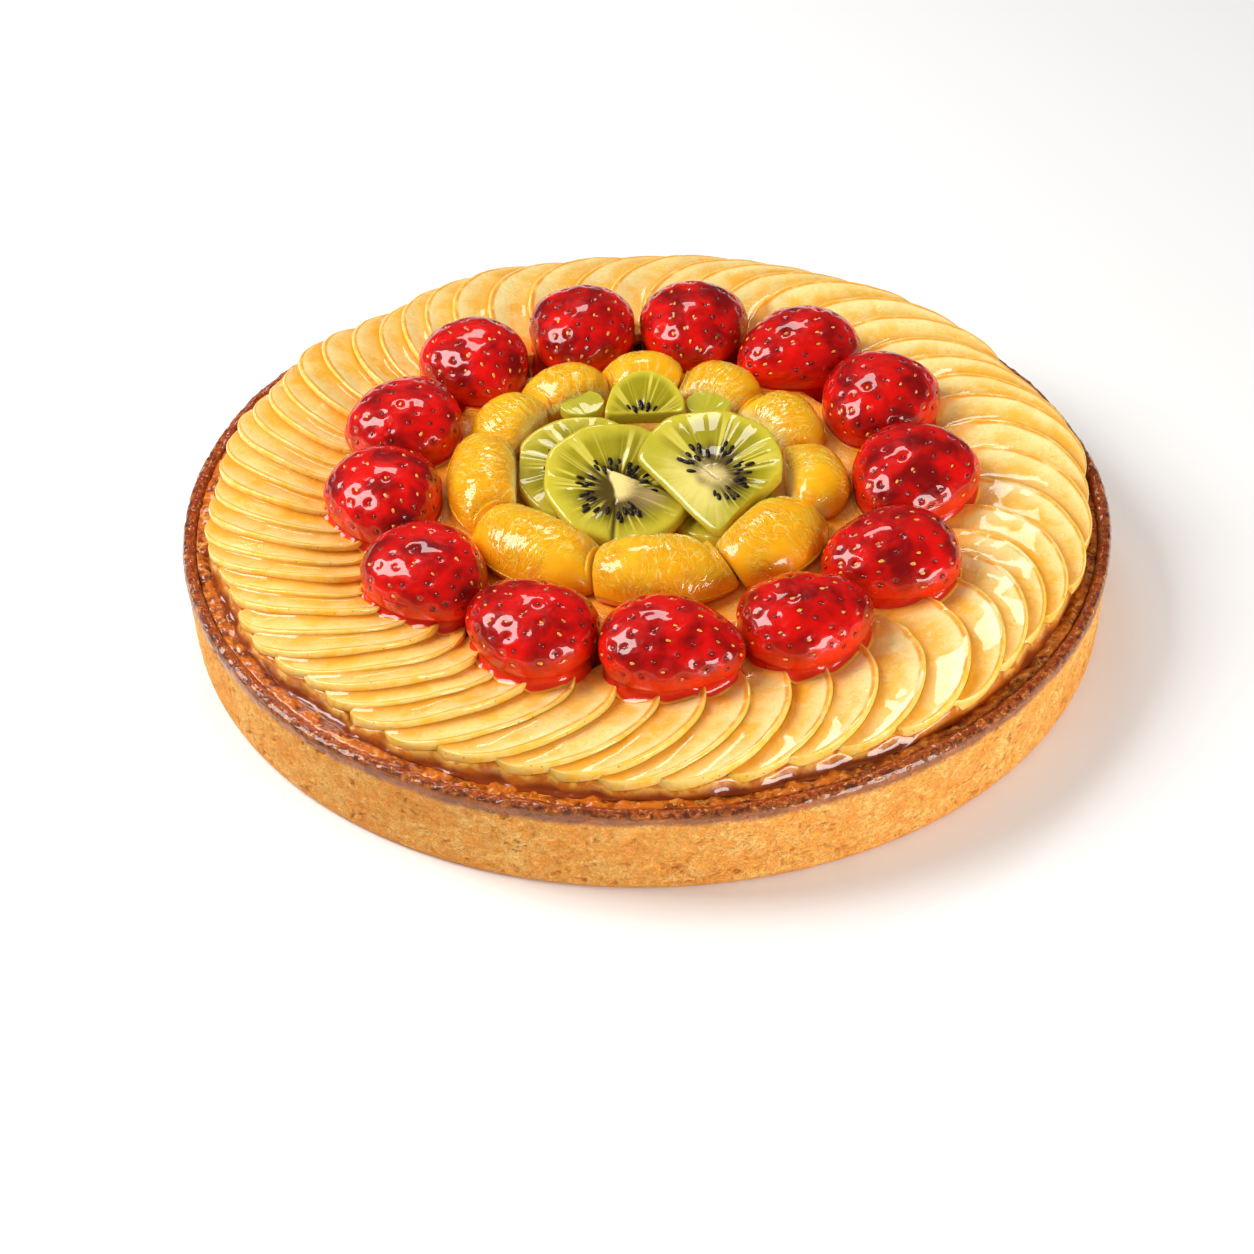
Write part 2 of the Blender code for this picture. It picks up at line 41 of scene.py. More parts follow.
class Wire:
    # One socket of a material. Its operators add Math nodes, and node() adds any other kind of node.
    def __init__(self, tree, socket=None):
        self.tree = tree
        self.socket = socket

    def node(self, kind, settings, sockets, output=0):
        made = self.tree.nodes.new(kind)
        for name, value in settings.items():
            setattr(made, name, value)
        for name, value in sockets.items():
            if isinstance(value, Wire):
                self.tree.links.new(value.socket, made.inputs[name])
            else:
                made.inputs[name].default_value = value
        return Wire(self.tree, made.outputs[output])

    def maths(self, operation, *values):
        return self.node("ShaderNodeMath", {"operation": operation}, dict(enumerate(values)))

    def __add__(self, other):
        return self.maths("ADD", self, other)

    def __radd__(self, other):
        return self.maths("ADD", other, self)

    def __sub__(self, other):
        return self.maths("SUBTRACT", self, other)

    def __rsub__(self, other):
        return self.maths("SUBTRACT", other, self)

    def __mul__(self, other):
        return self.maths("MULTIPLY", self, other)

    def __rmul__(self, other):
        return self.maths("MULTIPLY", other, self)

    def __pow__(self, other):
        return self.maths("POWER", self, other)

    def step(self, low, high):
        # 0 up to low, 1 from high on, and a smooth rise between them
        settings = {"interpolation_type": "SMOOTHSTEP"}
        return self.node("ShaderNodeMapRange", settings, {0: self, 1: low, 2: high, 3: 0.0, 4: 1.0})

    def blend(self, first, second):
        # The first colour where this wire is 0 and the second where it is 1
        settings = {"data_type": "RGBA", "clamp_factor": True}
        return self.node("ShaderNodeMix", settings, {0: self, 6: paint(first), 7: paint(second)}, 2)

    def facts(self, *names):
        # Values that the mesh carries at each point
        return [self.node("ShaderNodeAttribute", {"attribute_name": name}, {}, "Fac") for name in names]

    def stretch(self, scale):
        return self.node("ShaderNodeMapping", {}, {"Vector": self, "Scale": scale})

    def grain(self, size, detail=3.0, rough=0.55, warp=0.0):
        # Noise with features about this many millimetres across, from 0 to 1
        sockets = {"Vector": self, "Scale": 1.0 / (size * mm), "Detail": detail, "Roughness": rough}
        sockets["Distortion"] = warp
        return self.node("ShaderNodeTexNoise", {}, sockets, "Fac")

    def cells(self, size):
        # Distance to the nearest of points strewn about this many millimetres apart
        sockets = {"Vector": self, "Scale": 1.0 / (size * mm)}
        return self.node("ShaderNodeTexVoronoi", {}, sockets, "Distance")

    def bump(self, depth, normal=None):
        # Relief of this many millimetres from a wire that runs from 0 to 1
        sockets = {"Height": self, "Distance": depth * mm, "Strength": 1.0}
        if normal is not None:
            sockets["Normal"] = normal
        return self.node("ShaderNodeBump", {}, sockets)


def paint(colour):
    return (*colour, 1.0) if isinstance(colour, tuple) and len(colour) == 3 else colour


def layered(base, *coats):
    # A base colour, with the colour of each coat laid over it by the coat's share
    for share, colour in coats:
        base = share.blend(base, colour)
    return base


def newFinish(name, recipe, fixed):
    # A Principled finish: the recipe returns what varies over the surface, and fixed holds the rest
    finish = bpy.data.materials.new(name)
    finish.use_nodes = True
    tree = finish.node_tree
    shader = tree.nodes["Principled BSDF"]
    for socket, value in fixed.items():
        shader.inputs[socket].default_value = value
    here = Wire(tree).node("ShaderNodeTexCoord", {}, {}, "Object")
    for socket, wire in recipe(here).items():
        tree.links.new(wire.socket, shader.inputs[socket])
    return finish


def glazedFinish(name, recipe, piece):
    # A finish under clear glaze, from a piece's gloss (roughness, the glaze's own roughness, specular
    # level) and from how light spreads under its skin (weight, radii, millimetres)
    rough, glazeRough, specular = piece["gloss"]
    weight, radii, reach = piece.get("under", (0.0, (1.0, 0.2, 0.1), 0.0))
    fixed = {"Roughness": rough, "Coat Weight": 1.0, "Coat Roughness": glazeRough, "Coat IOR": 1.45}
    fixed.update({"Specular IOR Level": specular, "Subsurface Weight": weight})
    fixed.update({"Subsurface Radius": radii, "Subsurface Scale": reach * mm})
    return newFinish(name, recipe, fixed)


def latticeValue(cell, seed):
    # A whole-number hash of each cell, as a value from 0 to 1
    mixed = (cell * np.array([73856093, 19349663, 83492791])).sum(-1) + seed * 26544357
    mixed = (mixed ^ (mixed >> 13)) * 1274126177
    mixed = (mixed ^ (mixed >> 16)) & 0xFFFFFF
    return mixed / 0xFFFFFF


def lumps(points, size, seed=0):
    # Values at the corners of cubes of this size, blended by a smooth step, from -1 to 1
    spot = np.asarray(points) / size
    base = np.floor(spot).astype(np.int64)
    part = spot - base
    part = part * part * (3 - 2 * part)
    total = np.zeros(spot.shape[:-1])
    for corner in np.ndindex(2, 2, 2):
        weight = np.prod(np.where(np.array(corner) == 1, part, 1 - part), axis=-1)
        total += weight * latticeValue(base + np.array(corner), seed)
    return total * 2 - 1


def scatterCells(points, size, seed=0):
    # Distances, in cells, to the nearest and second nearest of points strewn one to a cube, and the
    # nearest one's own random value
    spot = np.asarray(points) / size
    base = np.floor(spot).astype(np.int64)
    nearest = np.full(spot.shape[:-1], 9.0)
    second = nearest.copy()
    value = np.zeros(spot.shape[:-1])
    for step in np.ndindex(3, 3, 3):
        cell = base + np.array(step) - 1
        centre = cell + np.stack([latticeValue(cell, seed + k) for k in (1, 2, 3)], axis=-1)
        distance = np.linalg.norm(spot - centre, axis=-1)
        closer = distance < nearest
        second = np.where(closer, nearest, np.minimum(second, distance))
        value = np.where(closer, latticeValue(cell, seed + 4), value)
        nearest = np.minimum(nearest, distance)
    return nearest, second, value


def polar(bearing, radius):
    # X and Y as radius times the cosine and the sine of the bearing
    angle = np.radians(bearing)
    return np.stack([radius * np.cos(angle), radius * np.sin(angle)], axis=-1)


def pointsAt(bearing, radius, height):
    # Points at bearings, radii and heights, one for each pair that these arrays make
    flat = polar(bearing, radius)
    return np.concatenate([flat, np.broadcast_to(height, flat.shape[:-1])[..., None]], axis=-1)


def allRound(count):
    # This many evenly spaced bearings
    return np.arange(count) * 360.0 / count


def wave(bearing, depth, turns, phase):
    # A sine that goes round the tart this many times
    return depth * np.sin(np.radians(turns * bearing + phase))


def evened(values, times):
    # Means of neighbours round a ring, weighted 1, 2 and 1, taken this many times
    for _ in range(times):
        values = (np.roll(values, 1, 0) + 2 * values + np.roll(values, -1, 0)) / 4
    return values


def smoothStep(value, low, high):
    # 0 up to low and 1 from high on, and 3 s squared less 2 s cubed of the share s between them
    share = np.clip((value - low) / (high - low), 0, 1)
    return share * share * (3 - 2 * share)


def bell(value, width):
    # 1 at 0, falling on both sides as the exponential of minus the square of value over width
    return np.exp(-((value / width) ** 2))


def closedShell(grid):
    # Quads between neighbouring rings of a grid, and a fan from the middle of its first and last ring.
    # The faces are turned round where the signed volume comes out negative.
    rings, around = grid.shape[:2]
    points = np.vstack([grid.reshape(-1, 3), grid[0].mean(0), grid[-1].mean(0)])
    row, column = np.meshgrid(np.arange(rings - 1), np.arange(around), indexing="ij")
    onward = (column + 1) % around
    a = row * around
    quads = np.stack([a + column, a + onward, a + around + onward, a + around + column], axis=-1)
    quads = quads.reshape(-1, 4)
    column, onward = column[0], onward[0]
    pole = np.full(around, rings * around)
    far = (rings - 1) * around
    fans = [np.stack([pole, onward, column], -1), np.stack([pole + 1, far + column, far + onward], -1)]
    fans = np.vstack(fans)
    corners = np.vstack([quads[:, [0, 1, 2]], quads[:, [0, 2, 3]], fans])
    first, second, third = points[corners].transpose(1, 0, 2)
    if (first * np.cross(second, third)).sum() < 0:
        quads, fans = quads[:, ::-1], fans[:, ::-1]
    return points, quads, fans


def shellFact(grid, value):
    # A value at each of a grid's points, and its means round the first and last ring for the two poles
    value = np.broadcast_to(value, grid.shape[:2])
    return np.concatenate([value.reshape(-1), [value[0].mean(), value[-1].mean()]])


def gridNormals(grid):
    # Outward unit normals of a grid of closed rings, from differences along and across the rings
    along = np.gradient(grid, axis=0)
    across = np.roll(grid, -1, axis=1) - np.roll(grid, 1, axis=1)
    normal = np.cross(across, along)
    normal /= np.maximum(np.linalg.norm(normal, axis=-1, keepdims=True), 1e-9)
    outward = grid - grid.reshape(-1, 3).mean(0)
    return normal * np.sign((normal * outward).sum())


def newObject(name, data):
    made = bpy.data.objects.new(name, data)
    bpy.context.scene.collection.objects.link(made)
    return made


def addPiece(name, shells, finish, nodes=()):
    # One mesh from several grids, each with the values that its finish reads. It stands for CAD nodes.
    points, faces, facts, start = [], [], {}, 0
    for grid, values in shells:
        shellPoints, quads, fans = closedShell(grid)
        points.append(shellPoints)
        faces += (quads + start).tolist() + (fans + start).tolist()
        start += len(shellPoints)
        for fact, value in values.items():
            facts.setdefault(fact, []).append(shellFact(grid, value))
    mesh = bpy.data.meshes.new(name)
    mesh.from_pydata((np.vstack(points) * mm).tolist(), [], faces)
    for fact, values in facts.items():
        layer = mesh.attributes.new(fact, "FLOAT", "POINT")
        layer.data.foreach_set("value", np.concatenate(values).astype(np.float32))
    mesh.materials.append(finish)
    mesh.shade_smooth()
    piece = newObject(name, mesh)
    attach(piece, "root")
    if nodes:
        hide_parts(*nodes)


# Camera, floor and light

view = {
    "lens": 88.6,
    "sensor": 36.0,
    "elevation": 38.44,
    "distance": 869.0,
    "target": (-5.94, -20.4, 0.0),
    "roll": -1.14,
}


def makeCamera():
    # Looks level along the photograph's bearing, straight at the target from the given height
    lift = np.radians(view["elevation"])
    back = Vector((0, -np.cos(lift), np.sin(lift)))
    right = Vector((1, 0, 0))
    up = back.cross(right)
    camera = newObject("camera", bpy.data.cameras.new("camera"))
    camera.data.lens = view["lens"]
    camera.data.sensor_width = view["sensor"]
    turn = Matrix((right, up, back)).transposed().to_4x4()
    place = (Vector(view["target"]) + back * view["distance"]) * mm
    roll = Matrix.Rotation(np.radians(view["roll"]), 4, "Z")
    camera.matrix_world = Matrix.Translation(place) @ turn @ roll
    bpy.context.scene.camera = camera


studio = {
    "floorSize": 6000.0,
    "floorWhite": (0.93, 0.925, 0.92),
    "floorGlow": (0.56, 0.56, 0.56),
    "glowFrom": 0.7,
    "glowFull": 2.4,
    "backdropLight": 1.0,
    "roomLight": 0.42,
    "roomSheen": 0.05,
    # bearing, elevation, distance, width, height, watts, colour
    "leftBox": (172, 45, 900, 400, 560, 8.0, (1.0, 0.99, 0.97)),
    "rightBox": (317, 14, 850, 420, 300, 4.8, (1.0, 0.99, 0.97)),
    "backBox": (97, 50, 950, 300, 150, 1.1, (1.0, 0.99, 0.97)),
}


def floorRecipe(here):
    # The floor gives off a little light far from the tart, so that it stays pale up to the horizon. The
    # distances are in metres.
    away = here.node("ShaderNodeVectorMath", {"operation": "LENGTH"}, {0: here}, "Value")
    far = away.step(studio["glowFrom"], studio["glowFull"])
    return {"Emission Color": far.blend((0.0, 0.0, 0.0), studio["floorGlow"])}


def makeStudio():
    # A pale floor, three soft boxes, and a white world that lights the tart less than the camera sees
    half = studio["floorSize"] / 2 * mm
    mesh = bpy.data.meshes.new("floor")
    corners = [(-half, -half, 0), (half, -half, 0), (half, half, 0), (-half, half, 0)]
    mesh.from_pydata(corners, [], [(0, 1, 2, 3)])
    floor = newObject("floor", mesh)
    fixed = {"Base Color": paint(studio["floorWhite"]), "Roughness": 0.6, "Emission Strength": 1.0}
    mesh.materials.append(newFinish("white floor", floorRecipe, fixed))
    for name in ("leftBox", "rightBox", "backBox"):
        bearing, elevation, distance, width, height, watts, colour = studio[name]
        flat = polar(bearing, np.cos(np.radians(elevation)))
        toward = Vector((*flat, np.sin(np.radians(elevation))))
        lamp = bpy.data.lights.new(name, "AREA")
        lamp.shape = "RECTANGLE"
        lamp.size, lamp.size_y = width * mm, height * mm
        lamp.energy, lamp.color = watts, colour
        box = newObject(name, lamp)
        aim = toward.to_track_quat("Z", "Y").to_matrix().to_4x4()
        box.matrix_world = Matrix.Translation(toward * distance * mm) @ aim
    world = bpy.data.worlds.new("studio")
    world.use_nodes = True
    bpy.context.scene.world = world
    tree = world.node_tree
    room = studio["roomLight"]
    seen = Wire(tree).node("ShaderNodeLightPath", {}, {}, "Is Camera Ray")
    mirrored = Wire(tree).node("ShaderNodeLightPath", {}, {}, "Is Glossy Ray")
    strength = seen * (studio["backdropLight"] - room) + mirrored * (studio["roomSheen"] - room) + room
    tree.links.new(strength.socket, tree.nodes["Background"].inputs["Strength"])
    tree.nodes["Background"].inputs["Color"].default_value = (1.0, 1.0, 1.0, 1.0)
    bpy.context.scene.view_settings.view_transform = "Standard"


makeCamera()
makeStudio()
print("camera, floor and lights set")


# Crust: a plain-sided shell of shortcrust, sandy and pitted outside and browned along its crest

crust = {
    "rimRadius": 130.0,
    "footRadius": 128.2,
    "height": 27.0,
    "floor": 4.3,
    "wallAtRim": 3.8,
    "wallAtFoot": 5.2,
    "innerKnee": 22.5,
    "crestWave": 0.45,
    "sideWave": 0.35,
    "columns": 1150,
    "sideRows": 44,
    "pitDepth": 0.50,
    "grainDepth": 0.42,
    "curl": 1.7,
    "curlSize": 2.4,
    "filmFrom": 23.6,
    "brownFrom": 26.2,
    "brownInside": 128.6,
    "gloss": (0.85, 0.08, 0.25),
    "under": (0.10, (1.0, 0.5, 0.2), 1.0),
    "sandy": (0.95, 0.40, 0.070),
    # golden: a browner crumb colour, also painted as shade in the valleys of the relief
    "golden": (0.86, 0.28, 0.034),
    # pale: a paler crumb colour, also painted as highlight on the ridges and worm lines
    "pale": (1.0, 0.60, 0.18),
    # The colour of the pits and cracks is painted shade
    "pitShade": (0.52, 0.13, 0.010),
    "film": (0.22, 0.038, 0.008),
    "filmLight": (0.44, 0.11, 0.028),
    "toasted": (0.50, 0.12, 0.012),
    "crest": (0.13, 0.022, 0.004),
    "caramel": (0.34, 0.034, 0.002),
    "glazed": (0.58, 0.125, 0.008),
}


def innerWall(height):
    # Radius of the crust's inner face at a height above its foot
    share = (height - crust["floor"]) / (crust["height"] - crust["floor"])
    low = crust["footRadius"] - crust["wallAtFoot"]
    return low + (crust["rimRadius"] - crust["wallAtRim"] - low) * share


def crustGrid():
    # A profile of radius and height turned about the axis. Pits and grains push the side in and out,
    # and slow waves and small lumps make the crest uneven.
    rim, top, foot = crust["rimRadius"], crust["height"], crust["footRadius"]
    knots = [(60, 0, 1), (foot - 1.6, 0, 3), (foot - 0.5, 0.5, 2), (foot, 1.6, crust["sideRows"])]
    knots += [(rim, top - 1.7, 5), (rim - 0.5, top - 0.6, 4), (rim - 1.3, top - 0.1, 3)]
    knots += [(rim - 2.2, top, 3), (innerWall(top) + 0.5, top - 0.5, 3)]
    knots += [(innerWall(top) + 0.05, top - 1.3, 5)]
    knots += [(innerWall(z), z, 1) for z in (crust["innerKnee"], crust["floor"])]
    radius, height = [], []
    for (r0, z0, count), (r1, z1, _) in zip(knots, knots[1:]):
        radius += list(np.linspace(r0, r1, count, endpoint=False))
        height += list(np.linspace(z0, z1, count, endpoint=False))
    radius = np.array(radius + [knots[-1][0]])[:, None]
    height = np.array(height + [knots[-1][1]])[:, None]
    bearing = allRound(crust["columns"])[None, :]
    side = wave(bearing, crust["sideWave"], 5, 20) + wave(bearing, crust["sideWave"] / 2, 13, 70)
    crest = wave(bearing, crust["crestWave"], 7, 110) + wave(bearing, crust["crestWave"] / 2, 17, 10)
    outer = radius > foot - 0.6
    onSide = smoothStep(height, 1.0, 3.0) * (radius > rim - 3.0)
    nearCrest = smoothStep(height, top - 4.0, top - 0.5)
    flat = pointsAt(bearing, radius, height)
    curls = [lumps(flat, crust["curlSize"], seed) for seed in (41, 42, 43)]
    curled = flat + crust["curl"] * np.stack(curls, axis=-1)
    ridges = 1 - 2.2 * np.abs(lumps(curled, 1.9, 5))
    soft = lumps(flat, 7.0, 3) * 0.3 + ridges * 0.5 + lumps(flat, 0.9, 7) * 0.3
    pits = smoothStep(lumps(curled * [1, 1, 1.8], 1.7, 11), 0.44, 0.68)
    pits *= smoothStep(lumps(flat, 6.0, 13), -0.25, 0.35)
    cracks = smoothStep(lumps(curled * [1, 1, 3.0], 2.8, 17), 0.55, 0.75)
    pits += 0.8 * cracks * smoothStep(height, 16, 6)
    relief = onSide * (1 - 0.75 * nearCrest) * (crust["grainDepth"] * soft - crust["pitDepth"] * pits)
    swing = np.clip(height / (top / 2), 0, 1) * np.clip((top + 1 - height) / 6, 0.2, 1)
    spread = radius + outer * side * swing + relief
    ragged = lumps(flat, 5.0, 31) * 0.20 + lumps(flat, 1.8, 33) * 0.40 + lumps(flat, 0.9, 35) * 0.15
    lift = height + nearCrest * (crest * 0.8 + ragged - 0.25)
    facts = {"pitted": pits * onSide, "ridged": soft, "level": height, "across": radius}
    return pointsAt(bearing, spread, lift), facts


def crustRecipe(here):
    level, pitted, ridged, across = here.facts("level", "pitted", "ridged", "across")
    broad = here.grain(16, 3)
    sandy = here.stretch((1.0, 1.0, 1.3)).grain(1.1, 4, 0.7)
    fleck = here.stretch((1.0, 1.0, 1.3)).grain(2.2, 3, 0.6, 0.6)
    wormed = here.stretch((1.0, 1.0, 1.4)).grain(1.5, 2, 0.5, 1.6) - 0.5
    worm = wormed.maths("ABSOLUTE", wormed).step(0.075, 0.0)
    edge = level + here.grain(9, 3) * 2.4 + here.grain(2, 3) * 0.8
    filmed = edge.step(crust["filmFrom"], crust["filmFrom"] + 2.2)
    streaks = here.stretch((1.0, 1.0, 0.3)).grain(5, 3).step(0.35, 0.7)
    crumb = here.grain(2.0, 4, 0.65, 0.4)
    caramel = crumb.step(0.40, 0.62).blend(crust["crest"], crust["toasted"])
    caramel = (crumb.step(0.58, 0.72) * 0.8).blend(caramel, crust["sandy"])
    upper = level.step(23.5, 25.0)
    browned = (level + here.grain(2.5, 3) * 1.4).step(crust["brownFrom"], crust["brownFrom"] + 0.7)
    inward = across.step(crust["brownInside"], crust["brownInside"] - 0.8)
    browned = browned.maths("MAXIMUM", browned, inward * upper)
    inside = crumb.step(0.42, 0.66).blend(crust["caramel"], crust["glazed"])
    inside = (here.grain(1.3, 2, 0.5, 0.5).step(0.62, 0.72) * 0.8).blend(inside, crust["pale"])
    facing = across + here.grain(2.5, 2) * 1.2 - crust["brownInside"]
    base = layered(
        crust["sandy"],
        (broad.step(0.35, 0.65) * 0.6, crust["golden"]),
        # Painted shade in the valleys of the relief, and painted highlight on its ridges and raised worm
        # lines
        (ridged.step(0.05, -0.45) * 0.75, crust["golden"]),
        ((ridged + sandy * 0.8).step(0.50, 1.05) * 0.7, crust["pale"]),
        (worm * 0.45, crust["pale"]),
        (fleck.step(0.42, 0.30) * 0.4, crust["golden"]),
        # Painted shade: the pits and cracks darkened
        (pitted * 0.75, crust["pitShade"]),
        (level.step(2.2, 0.2) * 0.6, crust["golden"]),
        (filmed * 0.85, streaks.blend(crust["film"], crust["filmLight"])),
        (browned, caramel),
        (facing.step(1.0, 0.2) * upper, inside),
    )
    rough = crust["gloss"][0] - filmed * 0.35 - browned * 0.15
    relief = here.grain(1.4, 3, 0.6, 0.8).bump(0.35, worm.bump(0.22))
    return {"Base Color": base, "Roughness": rough, "Coat Weight": filmed * 0.8, "Normal": relief}


crustFinish = glazedFinish("baked shortcrust", crustRecipe, crust)
addPiece("shortcrust", [crustGrid()], crustFinish, ["crust"])
print("crust made")


# Filling: a browned, glazed band by the wall, and amber glaze over cream under the fruit

filling = {
    "gap": 0.35,
    "byWall": 25.0,
    "underApple": 22.8,
    "atMound": 21.6,
    "moundTop": 33.0,
    "moundRadius": 66.5,
    "moundFoot": 69.5,
    "dishRadius": 34.0,
    "dishTop": 28.6,
    "columns": 900,
    "gloss": (0.35, 0.05, 0.2),
    "caramel": (0.20, 0.026, 0.002),
    "toasted": (0.62, 0.145, 0.009),
    "golden": (0.90, 0.40, 0.080),
    "cream": (0.95, 0.50, 0.08),
    "amber": (0.90, 0.30, 0.012),
}


def fillingTop(radius):
    # Height of the filling's top at each radius: a dish, the mound round it, a trough and the outer band
    dish, mound, trough = filling["dishRadius"], filling["moundTop"], filling["atMound"]
    apples, wall = filling["underApple"], filling["byWall"]
    marks = [dish, dish + 4, filling["moundRadius"], filling["moundFoot"], 90, 100, 112, 119, 122, 124.2]
    levels = [filling["dishTop"], mound, mound, trough, trough, apples, apples]
    return np.interp(radius, marks, [*levels, wall - 0.2, wall + 0.4, wall + 0.9])


def fillingGrid():
    # Rings from the foot's middle, up the wall and over the top. Lumps raise and pit the outer band.
    wall = innerWall(filling["byWall"]) + 0.3
    low = crust["floor"] + filling["gap"]
    foot = innerWall(low) - filling["gap"] - 0.15
    runs = [np.linspace(wall - 0.3, 108, 36), np.linspace(104, 72, 6), np.linspace(69.5, 60, 6)]
    top = np.concatenate([*runs, np.linspace(58, 8, 20)])
    edge = [low, low, filling["byWall"] - 3, filling["byWall"] - 0.7]
    radius = np.concatenate([[60, foot, wall - 0.1, wall], top])[:, None]
    height = np.concatenate([edge, fillingTop(top)])[:, None]
    bearing = allRound(filling["columns"])[None, :]
    flat = pointsAt(bearing, radius, height)
    band = smoothStep(radius, 108, 113) * (height > filling["byWall"] - 2.6)
    near, _, pick = scatterCells(flat * [1, 1, 0.3], 3.4, 5)
    knobs = bell(near, 0.40) * pick
    coarse = lumps(flat, 5.0, 2) * 0.5 + lumps(flat, 2.0, 4) * 0.4 + lumps(flat, 1.0, 6) * 0.2
    rise = band * (0.8 * coarse + 1.0 * knobs - 0.45)
    ripple = (radius < 66) * lumps(flat, 5.0, 8) * 0.2
    grid = pointsAt(bearing, radius, height + rise + ripple)
    return grid, {"raised": np.clip(0.42 + 0.6 * coarse + 0.5 * knobs, 0, 1), "reach": radius}


def fillingRecipe(here):
    raised, reach = here.facts("raised", "reach")
    speckle = here.grain(2.4, 4, 0.6, 0.4)
    tone = (raised * 0.5 + speckle * 1.1).step(0.58, 0.90)
    band = layered(
        filling["caramel"],
        (tone, filling["toasted"]),
        (here.grain(1.3, 2, 0.5, 0.5).step(0.60, 0.70) * 0.8, filling["golden"]),
        (here.grain(4.5, 2, 0.5, 0.5).step(0.60, 0.68) * 0.6, filling["golden"]),
    )
    under = here.grain(9, 3).step(0.35, 0.65).blend(filling["cream"], filling["amber"])
    base = reach.step(100.0, 112.0).blend(under, band)
    return {"Base Color": base, "Normal": here.grain(1.4, 2, 0.5).bump(0.55)}


fillingFinish = glazedFinish("glazed filling", fillingRecipe, filling)
addPiece("bakedFilling", [fillingGrid()], fillingFinish, ["filling"])
print("filling made")


# Apple slices: half moons, each lying over the next one anticlockwise

apple = {
    "count": 56,
    "thick": 2.9,
    "sink": 0.45,
    "pairGap": 0.60,
    "widePitch": 7.6,
    "tightPitch": 5.1,
    "tightHalfArc": 62.0,
    "ring": 98.0,
    "ringShift": 3.1,
    "length": 56.0,
    "tightLength": 51.0,
    "width": 22.0,
    "tightWidth": 18.0,
    "slant": 37.0,
    "tightSlant": 25.0,
    "bed": 24.7,
    "bedTilt": 4.6,
    "bedSpan": 15.0,
    "tightLift": 1.6,
    "stations": 44,
    "round": 0.75,
    "back": 0.10,
    "noSlice": 20.0,
    "poolReach": 1.5,
    "poolRise": 1.5,
    # Reach of the amber beside a covering slice's edge: pooled glaze, and painted shade under that slice
    "glazeShadeReach": 3.2,
    "gloss": (0.42, 0.05, 0.2),
    "under": (0.35, (1.0, 0.7, 0.25), 2.5),
    "flesh": (1.0, 0.76, 0.27),
    "pale": (1.0, 0.86, 0.44),
    "glazed": (0.98, 0.54, 0.050),
    "amber": (0.92, 0.31, 0.006),
    "cutEdge": (0.97, 0.64, 0.17),
    "browned": (0.45, 0.14, 0.015),
}


# Glaze round the apple tips. Its start and end are radii and heights, hidden in the filling.
tipGlaze = {
    "columns": 900,
    "start": (108.0, 10.0),
    "end": (121.0, 12.0),
    "outerLimit": 122.6,
    "spread": 3.0,
    "reach": 1.0,
    "hold": 0.1,
    "gloss": (0.3, 0.03, 0.2),
    "pale": (0.86, 0.42, 0.07),
    "honey": (0.58, 0.15, 0.008),
    "caramel": (0.24, 0.034, 0.002),
}


def crowding(bearing):
    # 1 where the slices crowd together, at the left, and 0 at the right
    away = np.abs(bearing % 360.0 - 180.0)
    return 1.0 / (1.0 + (away / apple["tightHalfArc"]) ** 6)


fanBearings = np.linspace(-90.0, 450.0, 5401)
fanRate = 1.0 / (apple["widePitch"] - (apple["widePitch"] - apple["tightPitch"]) * crowding(fanBearings))
fanSum = np.concatenate([[0.0], np.cumsum((fanRate[1:] + fanRate[:-1]) / 2 * 0.1)])
fanTurn = np.interp(360.0, fanBearings, fanSum) - np.interp(0.0, fanBearings, fanSum)
fanSum = (fanSum - np.interp(0.0, fanBearings, fanSum)) * apple["count"] / fanTurn


def sliceBearing(index):
    return float(np.interp(index, fanSum, fanBearings))


def sliceHeight(x, y, index):
    # Underside of a slice: a ramp that climbs one slice's thickness for each slice passed
    centre = sliceBearing(index)
    bearing = np.degrees(np.arctan2(y, x))
    bearing = centre + (bearing - centre + 180.0) % 360.0 - 180.0
    step = apple["thick"] + (apple["pairGap"] - apple["sink"]) / 2
    climbed = np.interp(bearing, fanBearings, fanSum) * step
    level = (index // 2) * 2 * step + (index % 2) * (apple["thick"] - apple["sink"])
    dish = apple["bedTilt"] * np.tanh((np.hypot(x, y) - apple["ring"]) / apple["bedSpan"])
    return apple["bed"] + apple["tightLift"] * crowding(bearing) + dish + climbed - level


def sliceFrame(index):
    # Middle, the two directions, length and width of a slice
    index = index % apple["count"]
    crowd = float(crowding(np.array(sliceBearing(index))))
    uneven = np.sin(index * 1.3), np.sin(index * 0.9 + 1.0), np.sin(index * 1.7 + 2.0)
    sizes = [(apple["length"], apple["tightLength"]), (apple["width"], apple["tightWidth"])]
    sizes.append((apple["slant"], apple["tightSlant"]))
    length, width, slant = [wide + (tight - wide) * crowd for wide, tight in sizes]
    length, width = length * (1 + 0.02 * uneven[0]), width * (1 + 0.04 * uneven[1])
    slant = np.radians(slant + 2.0 * uneven[2])
    outward = polar(sliceBearing(index) + 0.5 * uneven[1], 1.0)
    onward = np.array([-outward[1], outward[0]])
    axis = outward * np.cos(slant) - onward * np.sin(slant)
    across = outward * np.sin(slant) + onward * np.cos(slant)
    middle = outward * (apple["ring"] + 0.8 * uneven[0]) + np.array([0.0, apple["ringShift"]])
    return middle, axis, across, length, width


def coveringGap(spot, index):
    # Distance from points to the round edge of the slice that lies on this one, positive outside it
    middle, axis, across, length, width = sliceFrame(index - 1)
    along = np.clip((spot - middle) @ axis / (length / 2), -0.999, 0.999)
    bulge = np.sqrt(1 - along**2)
    slope = width * along / bulge / (length / 2)
    return ((spot - middle) @ across - width * bulge) / np.sqrt(1 + slope**2)


